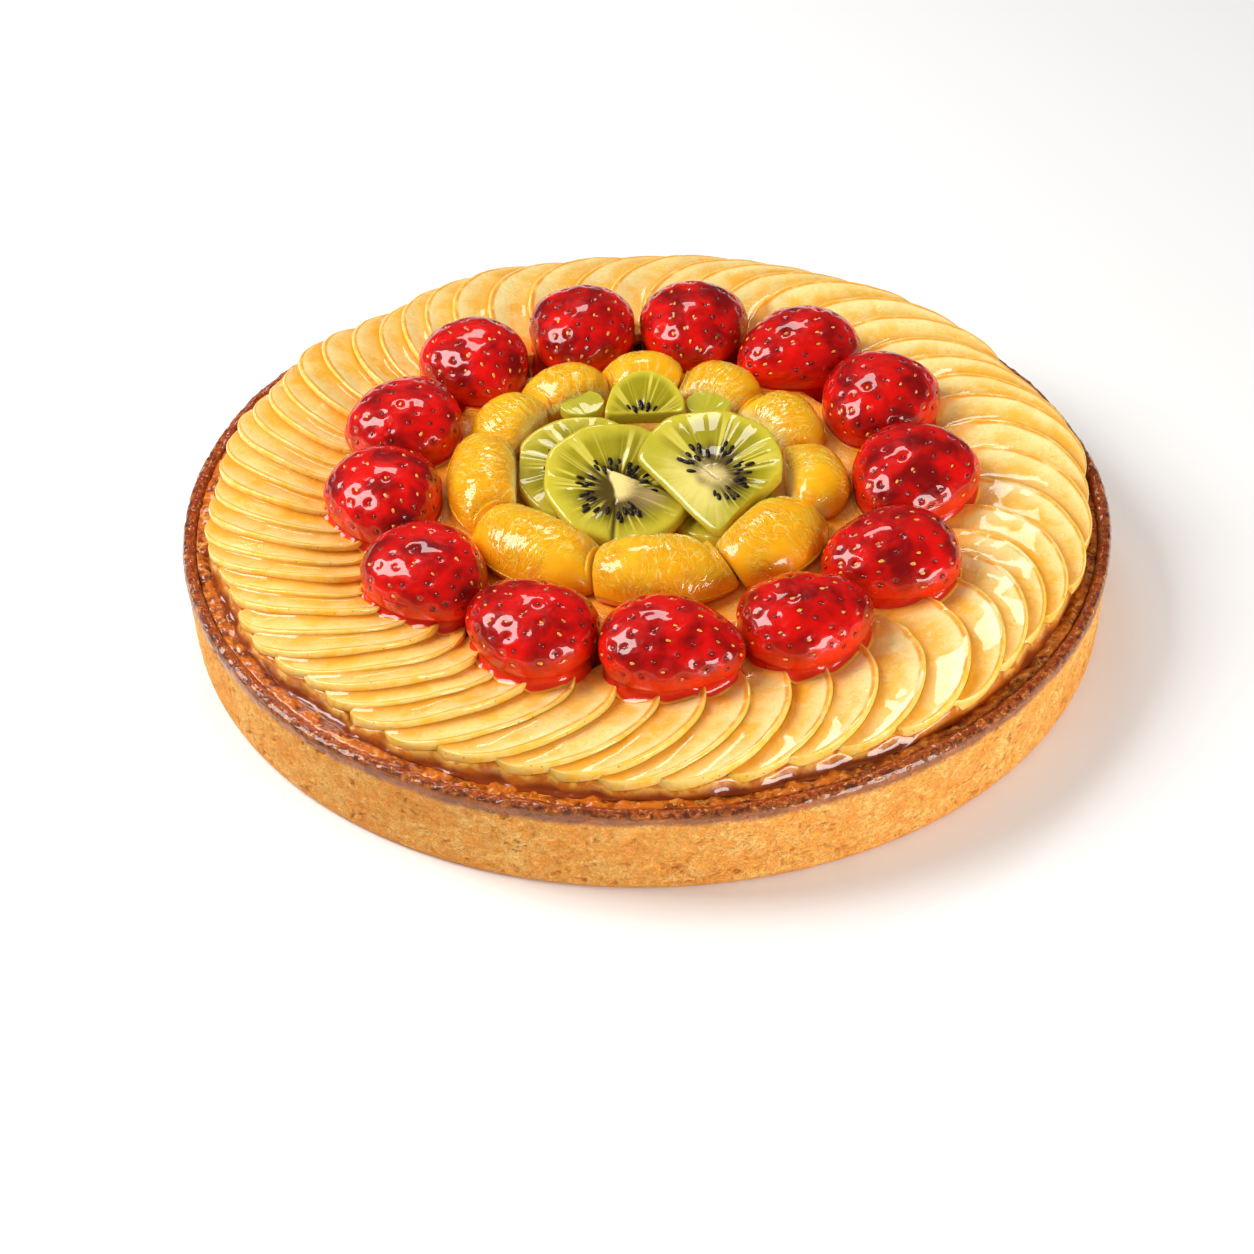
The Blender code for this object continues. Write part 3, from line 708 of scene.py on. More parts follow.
def sliceGrid(index):
    # Cross sections from tip to tip, each a plate with rounded corners between the straight edge and
    # the round edge, at the slice's height. Rows gather where the covering slice's edge crosses, which
    # repeated steps by the distance to it find, and glaze rises against that edge.
    middle, axis, across, length, width = sliceFrame(index)
    along = -np.cos(np.linspace(0.03, 0.97, apple["stations"]) * np.pi)
    bulge = np.sqrt(1 - along**2)
    straight, outer = -apple["back"] * width * bulge, width * bulge
    corner = np.minimum(apple["round"], (outer - straight) * 0.4)
    lowIn, rimIn = straight + corner, outer - corner
    spine = middle + along[:, None] * axis * length / 2
    covered = outer * 0.5
    for _ in range(5):
        covered = np.clip(covered - coveringGap(spine + covered[:, None] * across, index), lowIn, rimIn)
    hidden = lowIn[:, None] + (covered - lowIn)[:, None] * np.array([0, 0.5, 0.96])
    shown = covered[:, None] + (rimIn - covered)[:, None] * np.linspace(0, 1, 13)[:-1] ** 1.4
    under = rimIn[:, None] + (lowIn - rimIn)[:, None] * np.linspace(0, 1, 7)[1:-1]
    bend = np.radians([90, 60, 30, 0, -30, -60, -90])
    thick = apple["thick"]
    side = np.where(bend > 0, thick - apple["round"], apple["round"]) + np.sin(bend) * apple["round"]
    side[3] = thick / 2
    nose = corner[:, None] * np.cos(bend)
    parts = [hidden, shown, rimIn[:, None] + nose, under, lowIn[:, None] - nose[:, ::-1]]
    offset = np.concatenate(parts, axis=1)
    counts = [hidden.shape[1] + shown.shape[1], bend.size, under.shape[1], bend.size]
    tall = np.concatenate([np.full(counts[0], thick), side, np.zeros(counts[2]), side[::-1]])
    spot = spine[:, None, :] + offset[..., None] * across
    gap = coveringGap(spot, index)
    onTop = (tall > thick * 0.6) + 0 * offset
    pool = onTop * np.where(gap > 0, np.exp(-np.maximum(gap, 0) / apple["poolReach"]), np.exp(gap / 0.2))
    own = np.dstack([spot, 0 * gap]) + index * 17.0
    ripple = lumps(own, 9.0, 1) * 0.32 + lumps(own, 3.2, 2) * 0.14
    height = sliceHeight(spot[..., 0], spot[..., 1], index) + tall
    height = height + onTop * (apple["poolRise"] * pool + ripple)
    # Amber beside the covering slice's edge: glaze pooled there, partly painted shade under that slice
    facts = {"glazeShade": onTop * np.exp(-np.maximum(gap, 0) / apple["glazeShadeReach"])}
    facts["outShare"] = (offset - covered[:, None]) / np.maximum(rimIn - covered, 1.0)[:, None]
    facts["edging"] = np.repeat([0.0, 1.0, 0.0, 1.0], counts)
    facts["tone"] = latticeValue(np.array([index, 3, 5]), 9)
    return np.dstack([spot, height]), facts


def makeApples():
    # One piece for each pair of slices
    finish = glazedFinish("glazed apple", appleRecipe, apple)
    for pair in range(apple["count"] // 2):
        shells = [sliceGrid(2 * pair), sliceGrid(2 * pair + 1)]
        addPiece(f"appleSlices_{pair + 1:02d}", shells, finish, [f"apple_{pair + 1:02d}"])


def appleTop(spot):
    # Height of the highest slice over each point
    best = np.full(spot.shape[:-1], apple["noSlice"])
    for index in range(apple["count"]):
        middle, axis, across, length, width = sliceFrame(index)
        along = np.clip((spot - middle) @ axis / (length / 2), -1, 1)
        over = (spot - middle) @ across
        bulge = width * np.sqrt(1 - along**2)
        inside = (over < bulge) & (over > -apple["back"] * bulge)
        top = sliceHeight(spot[..., 0], spot[..., 1], index) + apple["thick"]
        best = np.where(inside, np.maximum(best, top), best)
    return best


def appleRecipe(here):
    glazeShade, outShare, edging, tone = here.facts("glazeShade", "outShare", "edging", "tone")
    cloud = here.grain(11, 3, 0.55, 0.6)
    fibre = here.stretch((1.0, 1.0, 0.4)).grain(2.4, 4, 0.65, 2.0)
    line = edging * (1.0 - edging) * 4.0
    rim = here.grain(4, 3).step(0.40, 0.66).blend(apple["cutEdge"], apple["glazed"])
    speck = here.cells(1.9).step(0.20, 0.08) * here.grain(6, 2).step(0.42, 0.55)
    rim = (speck * 0.75).blend(rim, apple["browned"])
    base = layered(
        apple["flesh"],
        (cloud.step(0.42, 0.62) * 0.85 + tone * 0.35 - 0.15, apple["glazed"]),
        (fibre.step(0.54, 0.64) * 0.65, apple["glazed"]),
        (fibre.step(0.44, 0.34) * 0.6, apple["pale"]),
        (outShare.step(0.45, 0.85) * outShare.step(1.02, 0.9) * 0.5, apple["pale"]),
        (outShare.step(0.88, 1.0) * 0.7, apple["glazed"]),
        # Pooled glaze and painted shade beside the covering slice
        (glazeShade ** 1.1 * (0.85 + tone * 0.3), apple["amber"]),
        (edging, rim),
        (line * here.grain(5, 2).step(0.25, 0.55) * 0.9, apple["amber"]),
    )
    return {"Base Color": base, "Normal": here.grain(3.2, 3, 0.5, 0.8).bump(0.35)}


def tipLine(bearing):
    # Radius and height of the slices' outer tips at each bearing, smoothed by the means of neighbours
    radius = np.linspace(104.0, 122.0, 73)[:, None]
    spot = polar(bearing[None, :], radius)
    top = appleTop(spot)
    reach = np.where(top > apple["noSlice"] + 0.5, radius, 0.0).max(0)
    height = appleTop(polar(bearing, reach - 0.8)) - apple["thick"]
    for step in (1, -1):
        reach = np.maximum(reach, np.roll(reach, step) - 0.3)
    return evened(reach, 5), evened(height, 5)


def makeTipGlaze():
    # Rings from deep in the filling, up under the slices and out, where the glaze falls from their
    # tips to the band as an exponential of the distance, and down into the filling again
    bearing = allRound(tipGlaze["columns"])
    reach, height = tipLine(bearing)
    away = np.linspace(-3.0, tipGlaze["spread"], 17)[:, None]
    uneven = lumps(pointsAt(bearing, reach, height), 5.0, 3)
    radius = np.minimum(reach + away, tipGlaze["outerLimit"])
    band = fillingTop(radius) + 0.1
    top = height + tipGlaze["hold"] + 0.5 * uneven
    fall = np.exp(-((np.maximum(away, 0) / (tipGlaze["reach"] * (1 + 0.35 * uneven))) ** 1.3))
    level = band - 0.35 + (top - band + 0.35) * fall
    ripple = lumps(pointsAt(bearing, radius, level), 2.2, 9) * 0.25
    start, end = [pointsAt(bearing, *tipGlaze[name])[None] for name in ("start", "end")]
    grid = np.concatenate([start, pointsAt(bearing, radius, level + ripple), end])
    down = np.concatenate([0 * fall[:1], 1 - fall, 0 * fall[:1] + 1])
    finish = glazedFinish("glaze at the apple tips", tipGlazeRecipe, tipGlaze)
    addPiece("tipGlaze", [(grid, {"down": down})], finish)


def tipGlazeRecipe(here):
    (down,) = here.facts("down")
    patch = here.grain(4, 3, 0.55, 0.5)
    base = patch.step(0.40, 0.62).blend(tipGlaze["honey"], tipGlaze["pale"])
    base = (down + (patch - 0.5) * 0.9).step(0.15, 0.80).blend(base, tipGlaze["caramel"])
    return {"Base Color": base, "Normal": here.grain(2.5, 2).bump(0.3)}


makeApples()
makeTipGlaze()
print("apple slices made")


# Shared by the round fruit

def softPress(points, foot, normal, gap, soft=0.6):
    # Points near or beyond a plane are pushed back to it, level, by a softened ramp
    normal = np.asarray(normal, float)
    level = normal * [1, 1, 0]
    beyond = (points - np.asarray(foot)) @ normal + gap / 2
    push = soft * np.logaddexp(0, beyond / soft)
    return points - push[..., None] * level / (level @ level)


def setDown(points, bearing, ring, facing, floor):
    # Turns a piece to its facing and sets it on the ring at its floor
    turn = np.radians(facing)
    x = points[..., 0] * np.cos(turn) - points[..., 1] * np.sin(turn)
    y = points[..., 0] * np.sin(turn) + points[..., 1] * np.cos(turn)
    middle = polar(bearing, ring)
    return np.stack([x + middle[0], y + middle[1], points[..., 2] + floor], axis=-1)


def seedGrid(place, normal, axis, length, width, depth):
    # A small oval seed, pointed at one end, lying along axis with its back along normal
    turn = np.arange(7) * 2 * np.pi / 7
    rows = np.radians([-58, -20, 20, 58])[:, None]
    x = np.sin(rows) + 0 * turn
    y = np.cos(rows) * np.cos(turn) * (1 - 0.28 * np.sin(rows))
    z = np.cos(rows) * np.sin(turn) * (1 - 0.2 * np.sin(rows))
    side = np.cross(normal, axis)
    along, over = x[..., None] * axis * length, z[..., None] * normal * depth
    return place + along + y[..., None] * side * width + over


# Strawberry halves, cut face down: bearing, ring radius, half length, half width, height, and the
# turn of the pointed end from +X

berry = {
    "floor": 34.0,
    "gap": 0.4,
    "taper": 0.20,
    "columns": 120,
    "rows": 58,
    "seeds": 62,
    "dimple": 0.48,
    "dimpleReach": 1.15,
    "seedTurn": 2.39996,
    "climbFrom": -0.16,
    "climbTo": 0.985,
    "gloss": (0.35, 0.025, 0.1),
    "under": (0.10, (1.0, 0.1, 0.05), 1.5),
    "halves": [
        (103.5, 76.0, 18.4, 16.0, 14.4, 262),
        (78.5, 76.5, 18.6, 16.2, 14.6, 262),
        (53.5, 77.0, 19.0, 16.6, 14.2, 205),
        (27.0, 76.0, 19.4, 16.8, 14.4, 250),
        (358.5, 74.2, 20.0, 17.4, 14.0, 240),
        (329.5, 75.8, 19.4, 16.6, 13.6, 195),
        (302.5, 77.0, 19.0, 16.2, 13.6, 25),
        (274.3, 75.2, 19.6, 16.2, 13.8, 350),
        (244.5, 73.0, 19.2, 16.2, 13.6, 140),
        (216.0, 72.8, 19.2, 16.4, 13.8, 310),
        (186.0, 72.6, 19.0, 16.4, 13.8, 285),
        (156.5, 73.9, 19.0, 16.6, 14.2, 75),
        (130.0, 75.5, 18.0, 16.0, 14.2, 290),
    ],
    "red": (0.70, 0.003, 0.001),
    # deepRed: darker red at random, also painted as shade in the dimples
    "deepRed": (0.20, 0.001, 0.001),
    "bright": (0.86, 0.040, 0.004),
    "seedGold": (0.90, 0.36, 0.04),
    "seedDark": (0.14, 0.008, 0.003),
}


def berryPoint(angle, climb, length, width, height):
    # A half berry on its cut face: an oval that narrows to its point, domed with a full side.
    # The angle goes round it and the climb goes from just under the rim to the top.
    low = berry["climbFrom"] * np.pi / 2
    spread = np.cos(climb) ** 0.9
    x = np.cos(angle) * spread
    y = np.sin(angle) * spread * (1 - berry["taper"] * x)
    lift = (np.sin(climb) - np.sin(low)) / (1 - np.sin(low))
    z = lift * (1 - 0.10 * x)
    return np.stack(np.broadcast_arrays(x * length, y * width, z * height), axis=-1)


def berryCentre(number):
    bearing, ring = berry["halves"][number % len(berry["halves"])][:2]
    return np.append(polar(bearing, ring), berry["floor"])


def berryPress(points, number):
    # Keeps a berry clear of its two neighbours
    here = berryCentre(number)
    for neighbour in (berryCentre(number - 1), berryCentre(number + 1)):
        way = (neighbour - here) / np.linalg.norm(neighbour - here)
        points = softPress(points, (here + neighbour) / 2, way, berry["gap"])
    return points


def makeBerries():
    # Rings of berry points with slow lumps, and a dimple at each seed as a bell of the distance to it.
    # The seeds go round by the golden angle as they climb.
    finish = glazedFinish("glazed strawberry", berryRecipe, berry)
    seedFinish = newFinish("strawberry seed", berrySeedRecipe, {"Roughness": 0.3, "Coat Weight": 1.0})
    angle = np.arange(berry["columns"]) * 2 * np.pi / berry["columns"]
    climb = np.linspace(berry["climbFrom"], berry["climbTo"], berry["rows"])[:, None] * np.pi / 2
    seeds = []
    rank = np.arange(berry["seeds"])
    seedClimb = np.arcsin(0.02 + 0.97 * (rank + 0.5) / berry["seeds"])
    for number, (bearing, ring, length, width, height, turn) in enumerate(berry["halves"]):
        shape = (length, width, height)
        jitter = latticeValue(np.stack([rank, 0 * rank + number, 0 * rank], -1), 5)
        seedAngle = rank * berry["seedTurn"] + number * 1.7 + (jitter - 0.5) * 0.22
        place = (bearing, ring, turn, berry["floor"])
        seedPlace = setDown(berryPoint(seedAngle, seedClimb, *shape), *place)
        grid = setDown(berryPoint(angle, climb, *shape), *place)
        normals = gridNormals(grid)
        grid = grid + normals * (lumps(grid, 8.0, number) * 0.35 - 0.15)[..., None]
        distance = np.linalg.norm(grid[:, :, None, :] - seedPlace[None, None], axis=-1)
        close = bell(distance, berry["dimpleReach"]).max(-1)
        rounded = lumps(grid, 2.6, 40 + number) * 0.10
        grid = grid + normals * (rounded - berry["dimple"] * close)[..., None]
        grid = berryPress(grid, number)
        facts = {"dimpled": close, "climb": climb / (np.pi / 2)}
        node = f"strawberry_{number + 1:02d}"
        addPiece(f"strawberryHalf_{number + 1:02d}", [(grid, facts)], finish, [node])
        flat = grid.reshape(-1, 3)
        seedPlace = berryPress(seedPlace, number)
        nearest = np.linalg.norm(flat[:, None, :] - seedPlace[None], axis=-1).argmin(0)
        tip = np.append(polar(turn, 1.0), 0.0)
        for k, spot in enumerate(nearest):
            normal = normals.reshape(-1, 3)[spot]
            axis = tip - normal * (tip @ normal)
            axis /= max(np.linalg.norm(axis), 1e-6)
            size = 0.8 + 0.35 * jitter[k]
            seed = seedGrid(flat[spot] + normal * 0.10, normal, axis, 0.78 * size, 0.44 * size, 0.26)
            seeds.append((seed, {"tone": jitter[k - 1]}))
    addPiece("strawberrySeeds", seeds, seedFinish)


def berryRecipe(here):
    dimpled, climb = here.facts("dimpled", "climb")
    base = layered(
        berry["red"],
        (here.grain(9, 3, 0.5, 0.3).step(0.35, 0.7), berry["deepRed"]),
        (climb.step(0.35, -0.1) * 0.55, berry["bright"]),
        # Painted shade: the dimples round the seeds darkened
        (dimpled.step(0.35, 0.95) * 0.75, berry["deepRed"]),
    )
    return {"Base Color": base, "Normal": here.grain(3.4, 2, 0.45, 0.6).bump(0.45)}


def berrySeedRecipe(here):
    (tone,) = here.facts("tone")
    return {"Base Color": tone.step(0.45, 0.75).blend(berry["seedDark"], berry["seedGold"])}


makeBerries()
print("strawberries made")


# Glaze that has run down the berries and gathered round their feet

glaze = {
    "reach": 0.7,
    "drawIn": 0.9,
    "flare": 10,
    "pitting": 0.3,
    "columns": 150,
    "gloss": (0.3, 0.02, 0.1),
    "under": (0.1, (1.0, 0.2, 0.05), 1.5),
    "juice": (0.62, 0.008, 0.002),
    "orange": (0.74, 0.030, 0.005),
    "amber": (0.96, 0.45, 0.035),
}


def glazeRecipe(here):
    (down,) = here.facts("down")
    base = layered(
        glaze["juice"],
        ((down + (here.grain(3, 2) - 0.5) * 0.3).step(0.45, 0.95), glaze["orange"]),
        (here.grain(2.4, 3, 0.5, 0.5).step(0.62, 0.70) * 0.5, berry["deepRed"]),
        (down.step(0.93, 0.99), glaze["amber"]),
    )
    return {"Base Color": base}


def makeGlazeFeet():
    # Rings that start and end inside the berry. Between them the glaze runs down from its side to the
    # ground, drawn in by a half sine wave and flared out by a high power of the way down, from 0 to 1.
    finish = glazedFinish("glaze at the berries", glazeRecipe, glaze)
    angle = np.arange(glaze["columns"]) * 2 * np.pi / glaze["columns"]
    down = (1 - np.linspace(1, 0, 13) ** 1.7)[:, None]
    shells = []
    for number, (bearing, ring, length, width, height, turn) in enumerate(berry["halves"]):
        rim = berryPoint(angle, 0.10, length, width, height)
        rim = setDown(rim, bearing, ring, turn, berry["floor"])
        outward = rim[:, :2] - berryCentre(number)[:2]
        outward /= np.linalg.norm(outward, axis=1, keepdims=True)
        swell = glaze["reach"] * (1 + 0.45 * lumps(rim, 6.0, 90 + number))
        foot = rim[:, :2] + outward * swell[:, None]
        ground = np.maximum(appleTop(foot), fillingTop(np.hypot(foot[:, 0], foot[:, 1])))
        ground = np.minimum(evened(ground, 6) + 0.1, berry["floor"] + 0.2)
        high = rim[:, 2]
        drawn = glaze["drawIn"] * (np.sin(np.pi * down) + down)
        spot = np.dstack(np.broadcast_arrays(rim[:, 0], rim[:, 1], 9 * down))
        pitted = glaze["pitting"] * lumps(spot, 2.6, 7)
        run = (swell + glaze["drawIn"]) * down ** glaze["flare"] - drawn - 0.25 + (1 - down) * pitted
        flat = rim[None, :, :2] + outward * run[..., None]
        skirt = np.dstack([flat, high + (ground - high) * down])
        inside = np.stack([rim[:, :2] - outward * 4.0] * 2)
        ends = np.dstack([inside, np.stack([high + 0.5, ground - 0.5])])
        grid = np.concatenate([ends[:1], skirt, ends[1:]])
        shells.append((berryPress(grid, number), {"down": np.concatenate([[[0.0]], down, [[1.0]]])}))
    addPiece("glazeFeet", shells, finish)


makeGlazeFeet()
print("glaze made")


# Mandarin segments, lying on a flat side with the straight edge towards the middle: bearing, ring
# radius of the middle, half length, width, height, and the turn of the length from the tangent

mandarin = {
    "floor": 33.35,
    "crest": 0.44,
    "lean": 24.0,
    "gap": 0.4,
    "rows": 124,
    "columns": 108,
    "sacDepth": 0.20,
    "sacSize": (1.9, 4.6),
    "veinPitch": 3.6,
    "bend": 1.6,
    "gloss": (0.35, 0.03, 0.15),
    "under": (0.85, (1.0, 0.5, 0.1), 3.0),
    "segments": [
        (357.5, 47.8, 15.5, 19.0, 11.6, 8),
        (33.0, 48.0, 15.0, 20.0, 11.8, 4),
        (62.5, 48.5, 14.0, 20.5, 12.0, 0),
        (90.0, 49.0, 14.0, 20.0, 12.2, 0),
        (118.0, 48.5, 14.5, 21.0, 12.2, -4),
        (145.0, 47.5, 13.0, 20.0, 11.8, 6),
        (179.5, 45.6, 24.5, 20.5, 12.8, 2),
        (229.0, 45.8, 22.0, 24.5, 13.2, 3),
        (275.0, 45.2, 22.0, 24.8, 13.4, -2),
        (318.0, 47.0, 20.5, 24.5, 13.2, 5),
    ],
    "pulp": (1.0, 0.42, 0.003),
    # Painted shade: a darker orange towards the bottom of each segment
    "lowShade": (1.0, 0.26, 0.001),
    "light": (1.0, 0.51, 0.008),
    # line: painted highlight, pale glints along the sac edges
    "line": (1.0, 0.72, 0.18),
    "membrane": (1.0, 0.78, 0.30),
}


def mandarinLoop(count):
    # Share across and height of a cross section: over the crest, down the back, along the flat side
    share = 0.5 - 0.5 * np.cos(np.linspace(0, np.pi, 40))
    power = np.log(0.5) / np.log(mandarin["crest"])
    arch = (1 - np.abs(2 * share**power - 1) ** 2.4) ** 0.6 * 0.85 + 0.15
    arch[0] = arch[-1] = 0.30
    loop = np.vstack([np.c_[share, arch], np.c_[np.linspace(0.94, 0.05, 14), np.zeros(14)]])
    closed = np.vstack([loop, loop[:1]])
    paces = np.linalg.norm(np.diff(closed * [2.0, 1.2], axis=0), axis=1)
    length = np.concatenate([[0], np.cumsum(paces)])
    even = np.linspace(0, length[-1], count, endpoint=False)
    return evened(np.stack([np.interp(even, length, part) for part in closed.T], axis=-1), 2)


def mandarinJoint(number):
    # Foot and normal of the leaning plane where a segment meets the one after it
    bearing = mandarin["segments"][number % 10][0]
    onward = mandarin["segments"][(number + 1) % 10][0]
    middle = np.radians(bearing + ((onward - bearing) % 360.0) / 2)
    lean = np.radians(mandarin["lean"])
    foot = np.array([0.0, 0.0, mandarin["floor"] + 5.0])
    return foot, np.array([-np.sin(middle) * np.cos(lean), np.cos(middle) * np.cos(lean), np.sin(lean)])


def mandarinInside(number):
    # Foot and outward normal of the upright plane at a segment's straight inner edge
    bearing, ring, _, width = mandarin["segments"][number][:4]
    foot = np.append(polar(bearing, ring - width / 2), mandarin["floor"])
    return foot, np.append(polar(bearing, 1.0), 0.0)


def makeMandarins():
    # Cross sections that are full in the middle by the root of 1 less the square of the way along.
    # Grooves run between strewn cells, the sacs, and pale veins along lines that fan from the crest.
    finish = glazedFinish("glazed mandarin", mandarinRecipe, mandarin)
    loop = mandarinLoop(mandarin["columns"])
    along = np.sin(np.linspace(-0.485, 0.485, mandarin["rows"]) * np.pi)[:, None]
    fullness = np.sqrt(1 - along**2)
    for number, (bearing, ring, length, width, height, turn) in enumerate(mandarin["segments"]):
        x = along * length + 0 * loop[:, 0]
        y = (loop[:, 0] - 0.5) * width * (0.35 + 0.65 * fullness) + 0.28 * width * (fullness - 1)
        z = loop[:, 1] * height * (0.4 + 0.6 * fullness)
        local = np.stack([x, y, z], axis=-1)
        grid = setDown(local, bearing, ring, bearing - 90.0 + turn, mandarin["floor"])
        normals = gridNormals(grid)
        girth = np.arange(mandarin["columns"]) / mandarin["columns"] * (2 * width + 1.2 * height)
        fan = along / (0.55 + 0.45 * np.sin(loop[:, 0] * np.pi)) * length
        bent = lumps(local + number * 31.0, 4.0, 2) * mandarin["bend"]
        sacLength, sacGirth = mandarin["sacSize"]
        sacs = ((fan + bent) / sacLength, (girth + bent * 2.0) / sacGirth, number * 7.3)
        sacs = np.stack(np.broadcast_arrays(*sacs), axis=-1)
        near, second, _ = scatterCells(sacs, 1.0, 60 + number)
        groove = bell(second - near, 0.22)
        upper = smoothStep(loop[:, 1], 0.12, 0.4) + 0 * x
        middle = smoothStep(lumps(local + number * 53.0, 9.0, 4), -0.35, 0.15)
        middle = middle * smoothStep(fullness, 0.3, 0.7)
        depth = mandarin["sacDepth"] * (0.25 + 0.9 * middle)
        pitch = mandarin["veinPitch"]
        lines = np.abs((fan / pitch + bent * 0.25) % 1.0 - 0.5) * pitch
        vein = bell(lines, 0.20) * smoothStep(loop[:, 0], 0.55, 0.15)
        vein = np.maximum(vein, bell(loop[:, 0] - 0.05, 0.045))
        vein = np.maximum(vein, smoothStep(fullness, 0.42, 0.20) * 0.6) * upper
        rise = upper * (-depth * groove + 0.06) + lumps(local, 7.0, number) * 0.3 + 0.10 * vein
        grid = grid + normals * rise[..., None]
        joints = (mandarinJoint(number), mandarinJoint(number - 1))
        for foot, normal in joints:
            sink = 0.30 * np.exp(-np.abs((grid - foot) @ normal) / 2.2)
            grid[..., 2] -= sink * (grid[..., 2] - mandarin["floor"])
        sides = zip((*joints, mandarinInside(number)), (1, -1, -1), (0.6, 0.6, 0.3))
        for (foot, normal), way, soft in sides:
            grid = softPress(grid, foot, way * normal, mandarin["gap"], soft)
        facts = {"vein": vein, "loft": loop[:, 1], "sacMiddle": middle}
        facts.update({"sacX": sacs[..., 0] + 40.0, "sacY": sacs[..., 1] + 40.0})
        node = f"mandarin_{number + 1:02d}"
        addPiece(f"mandarinSegment_{number + 1:02d}", [(grid, facts)], finish, [node])


def mandarinRecipe(here):
    vein, loft, sacX, sacY, inMiddle = here.facts("vein", "loft", "sacX", "sacY", "sacMiddle")
    sacs = here.node("ShaderNodeCombineXYZ", {}, {"X": sacX, "Y": sacY})
    settings = {"feature": "DISTANCE_TO_EDGE"}
    edges = sacs.node("ShaderNodeTexVoronoi", settings, {"Vector": sacs, "Scale": 1.0})
    middle = inMiddle * loft.step(0.3, 0.6)
    broken = here.grain(2.5, 2).step(0.42, 0.58)
    base = layered(
        mandarin["pulp"],
        (here.grain(8, 3, 0.5, 0.5).step(0.35, 0.7), mandarin["light"]),
        # Painted shade, darker towards the bottom
        (loft.step(0.85, 0.1) * 0.75, mandarin["lowShade"]),
        (vein * here.grain(4, 3).step(0.30, 0.50) * 0.75, mandarin["membrane"]),
        # Painted highlight: pale glints along the sac edges, mostly in the middle
        (edges.step(0.09, 0.02) * (middle * 0.65 + 0.05) * broken, mandarin["line"]),
    )
    pillow = edges.step(0.0, 0.16) * (middle * 0.95 + 0.05)
    curl = here.grain(2.2, 1, 0.5, 2.0) - 0.5
    worm = curl.maths("ABSOLUTE", curl).step(0.0, 0.07)
    relief = (worm * middle).bump(0.20, pillow.bump(0.20, here.grain(6, 2).bump(0.4)))
    return {"Base Color": base, "Normal": relief}


makeMandarins()
print("mandarins made")


# Kiwi slices: centre and its height, half sizes along X and Y, thickness, rise along X and Y, and the
# place of the core in shares of the half sizes

kiwi = {
    "slices": {
        "kiwi_back": (0.5, 25.0, 42.8, 11.5, 13.0, 3.6, 0.0, 0.40, -0.08, -0.36),
        "kiwi_back_left": (-17.5, 30.5, 42.0, 6.5, 5.0, 3.4, 0.05, 0.20, 0.4, -1.7),
        "kiwi_back_right": (18.5, 29.0, 42.0, 6.5, 5.0, 3.4, 0.0, 0.20, -0.4, -1.7),
        "kiwi_left": (-16.5, 4.0, 38.2, 20.5, 20.5, 3.6, -0.05, 0.18, 0.0, 0.0),
        "kiwi_under": (21.0, -9.0, 35.4, 15.0, 15.5, 3.6, 0.14, 0.12, 0.0, 0.0),
        "kiwi_front": (-7.5, -6.5, 41.0, 21.0, 22.5, 3.6, -0.12, 0.20, -0.02, -0.17),
        "kiwi_top": (18.0, -7.0, 46.0, 21.0, 22.5, 4.2, 0.02, 0.20, 0.02, -0.17),
    },
    "lobes": 9,
    "lobeDepth": 0.012,
    "columns": 288,
    "flatEdge": -0.10,
    "flapRise": 1.1,
    "flapStop": -24.0,
    "flapStart": 245.0,
    "flapEnd": 335.0,
    "foldBearing": 216.0,
    "foldFromCore": 6.0,
    "foldReach": 13.2,
    "foldDrop": 0.32,
    "droop": 1.0,
    "backMiddle": 0.30,
    "gloss": (0.38, 0.04, 0.15),
    "under": (0.15, (0.8, 1.0, 0.2), 1.5),
    "ribs": 46,
    "ribDepth": 0.30,
    "furrowDepth": 0.8,
    "seedRings": [(0.33, 15), (0.41, 18), (0.50, 14)],
    "core": (0.92, 0.72, 0.27),
    # inner: the dark flesh round the seeds, also painted as shade along the furrows
    "inner": (0.085, 0.052, 0.002),
    "flesh": (0.34, 0.28, 0.003),
    "ray": (0.72, 0.60, 0.08),
    "outer": (0.62, 0.51, 0.030),
    "fold": (0.78, 0.66, 0.17),
    "foldGreen": (0.48, 0.42, 0.018),
    "haze": (0.42, 0.30, 0.12),
    "seed": (0.011, 0.005, 0.003),
    # Shares of the half sizes: the front slice's cream wedge, the cut above it and the crease below
    "wedgeLeft": -0.18,
    "cutRise": 0.15,
    "cutFall": 0.36,
    "wedgeFoot": -0.34,
    "creaseX": -0.05,
}


def pastFold(x, y):
    # Millimetres by which points of the top slice lie past its fold
    fold = polar(kiwi["foldBearing"], 1.0)
    return x * fold[0] + y * fold[1] - kiwi["foldFromCore"]


def kiwiBend(name, x, y):
    # How far a slice bends from its plane: a lifted flap at the front one, and a folded edge and a
    # drooping far side at the top one
    if name == "kiwi_front":
        stop = kiwi["flapStop"]
        bearing = (np.degrees(np.arctan2(y, x)) - stop) % 360.0 + stop
        share = np.clip((bearing - kiwi["flapStart"]) / (kiwi["flapEnd"] - kiwi["flapStart"]), 0, 1)
        return kiwi["flapRise"] * share**1.5 * np.clip(np.hypot(x, y) / 8.0, 0, 1)
    if name == "kiwi_top":
        behind = np.maximum(0.35 * x + 0.94 * y - 5.0, 0) / 16.0
        folded = kiwi["foldDrop"] * 1.2 * np.logaddexp(0, pastFold(x, y) / 1.2)
        return -folded - kiwi["droop"] * behind**1.7
    return np.zeros(np.broadcast(x, y).shape)


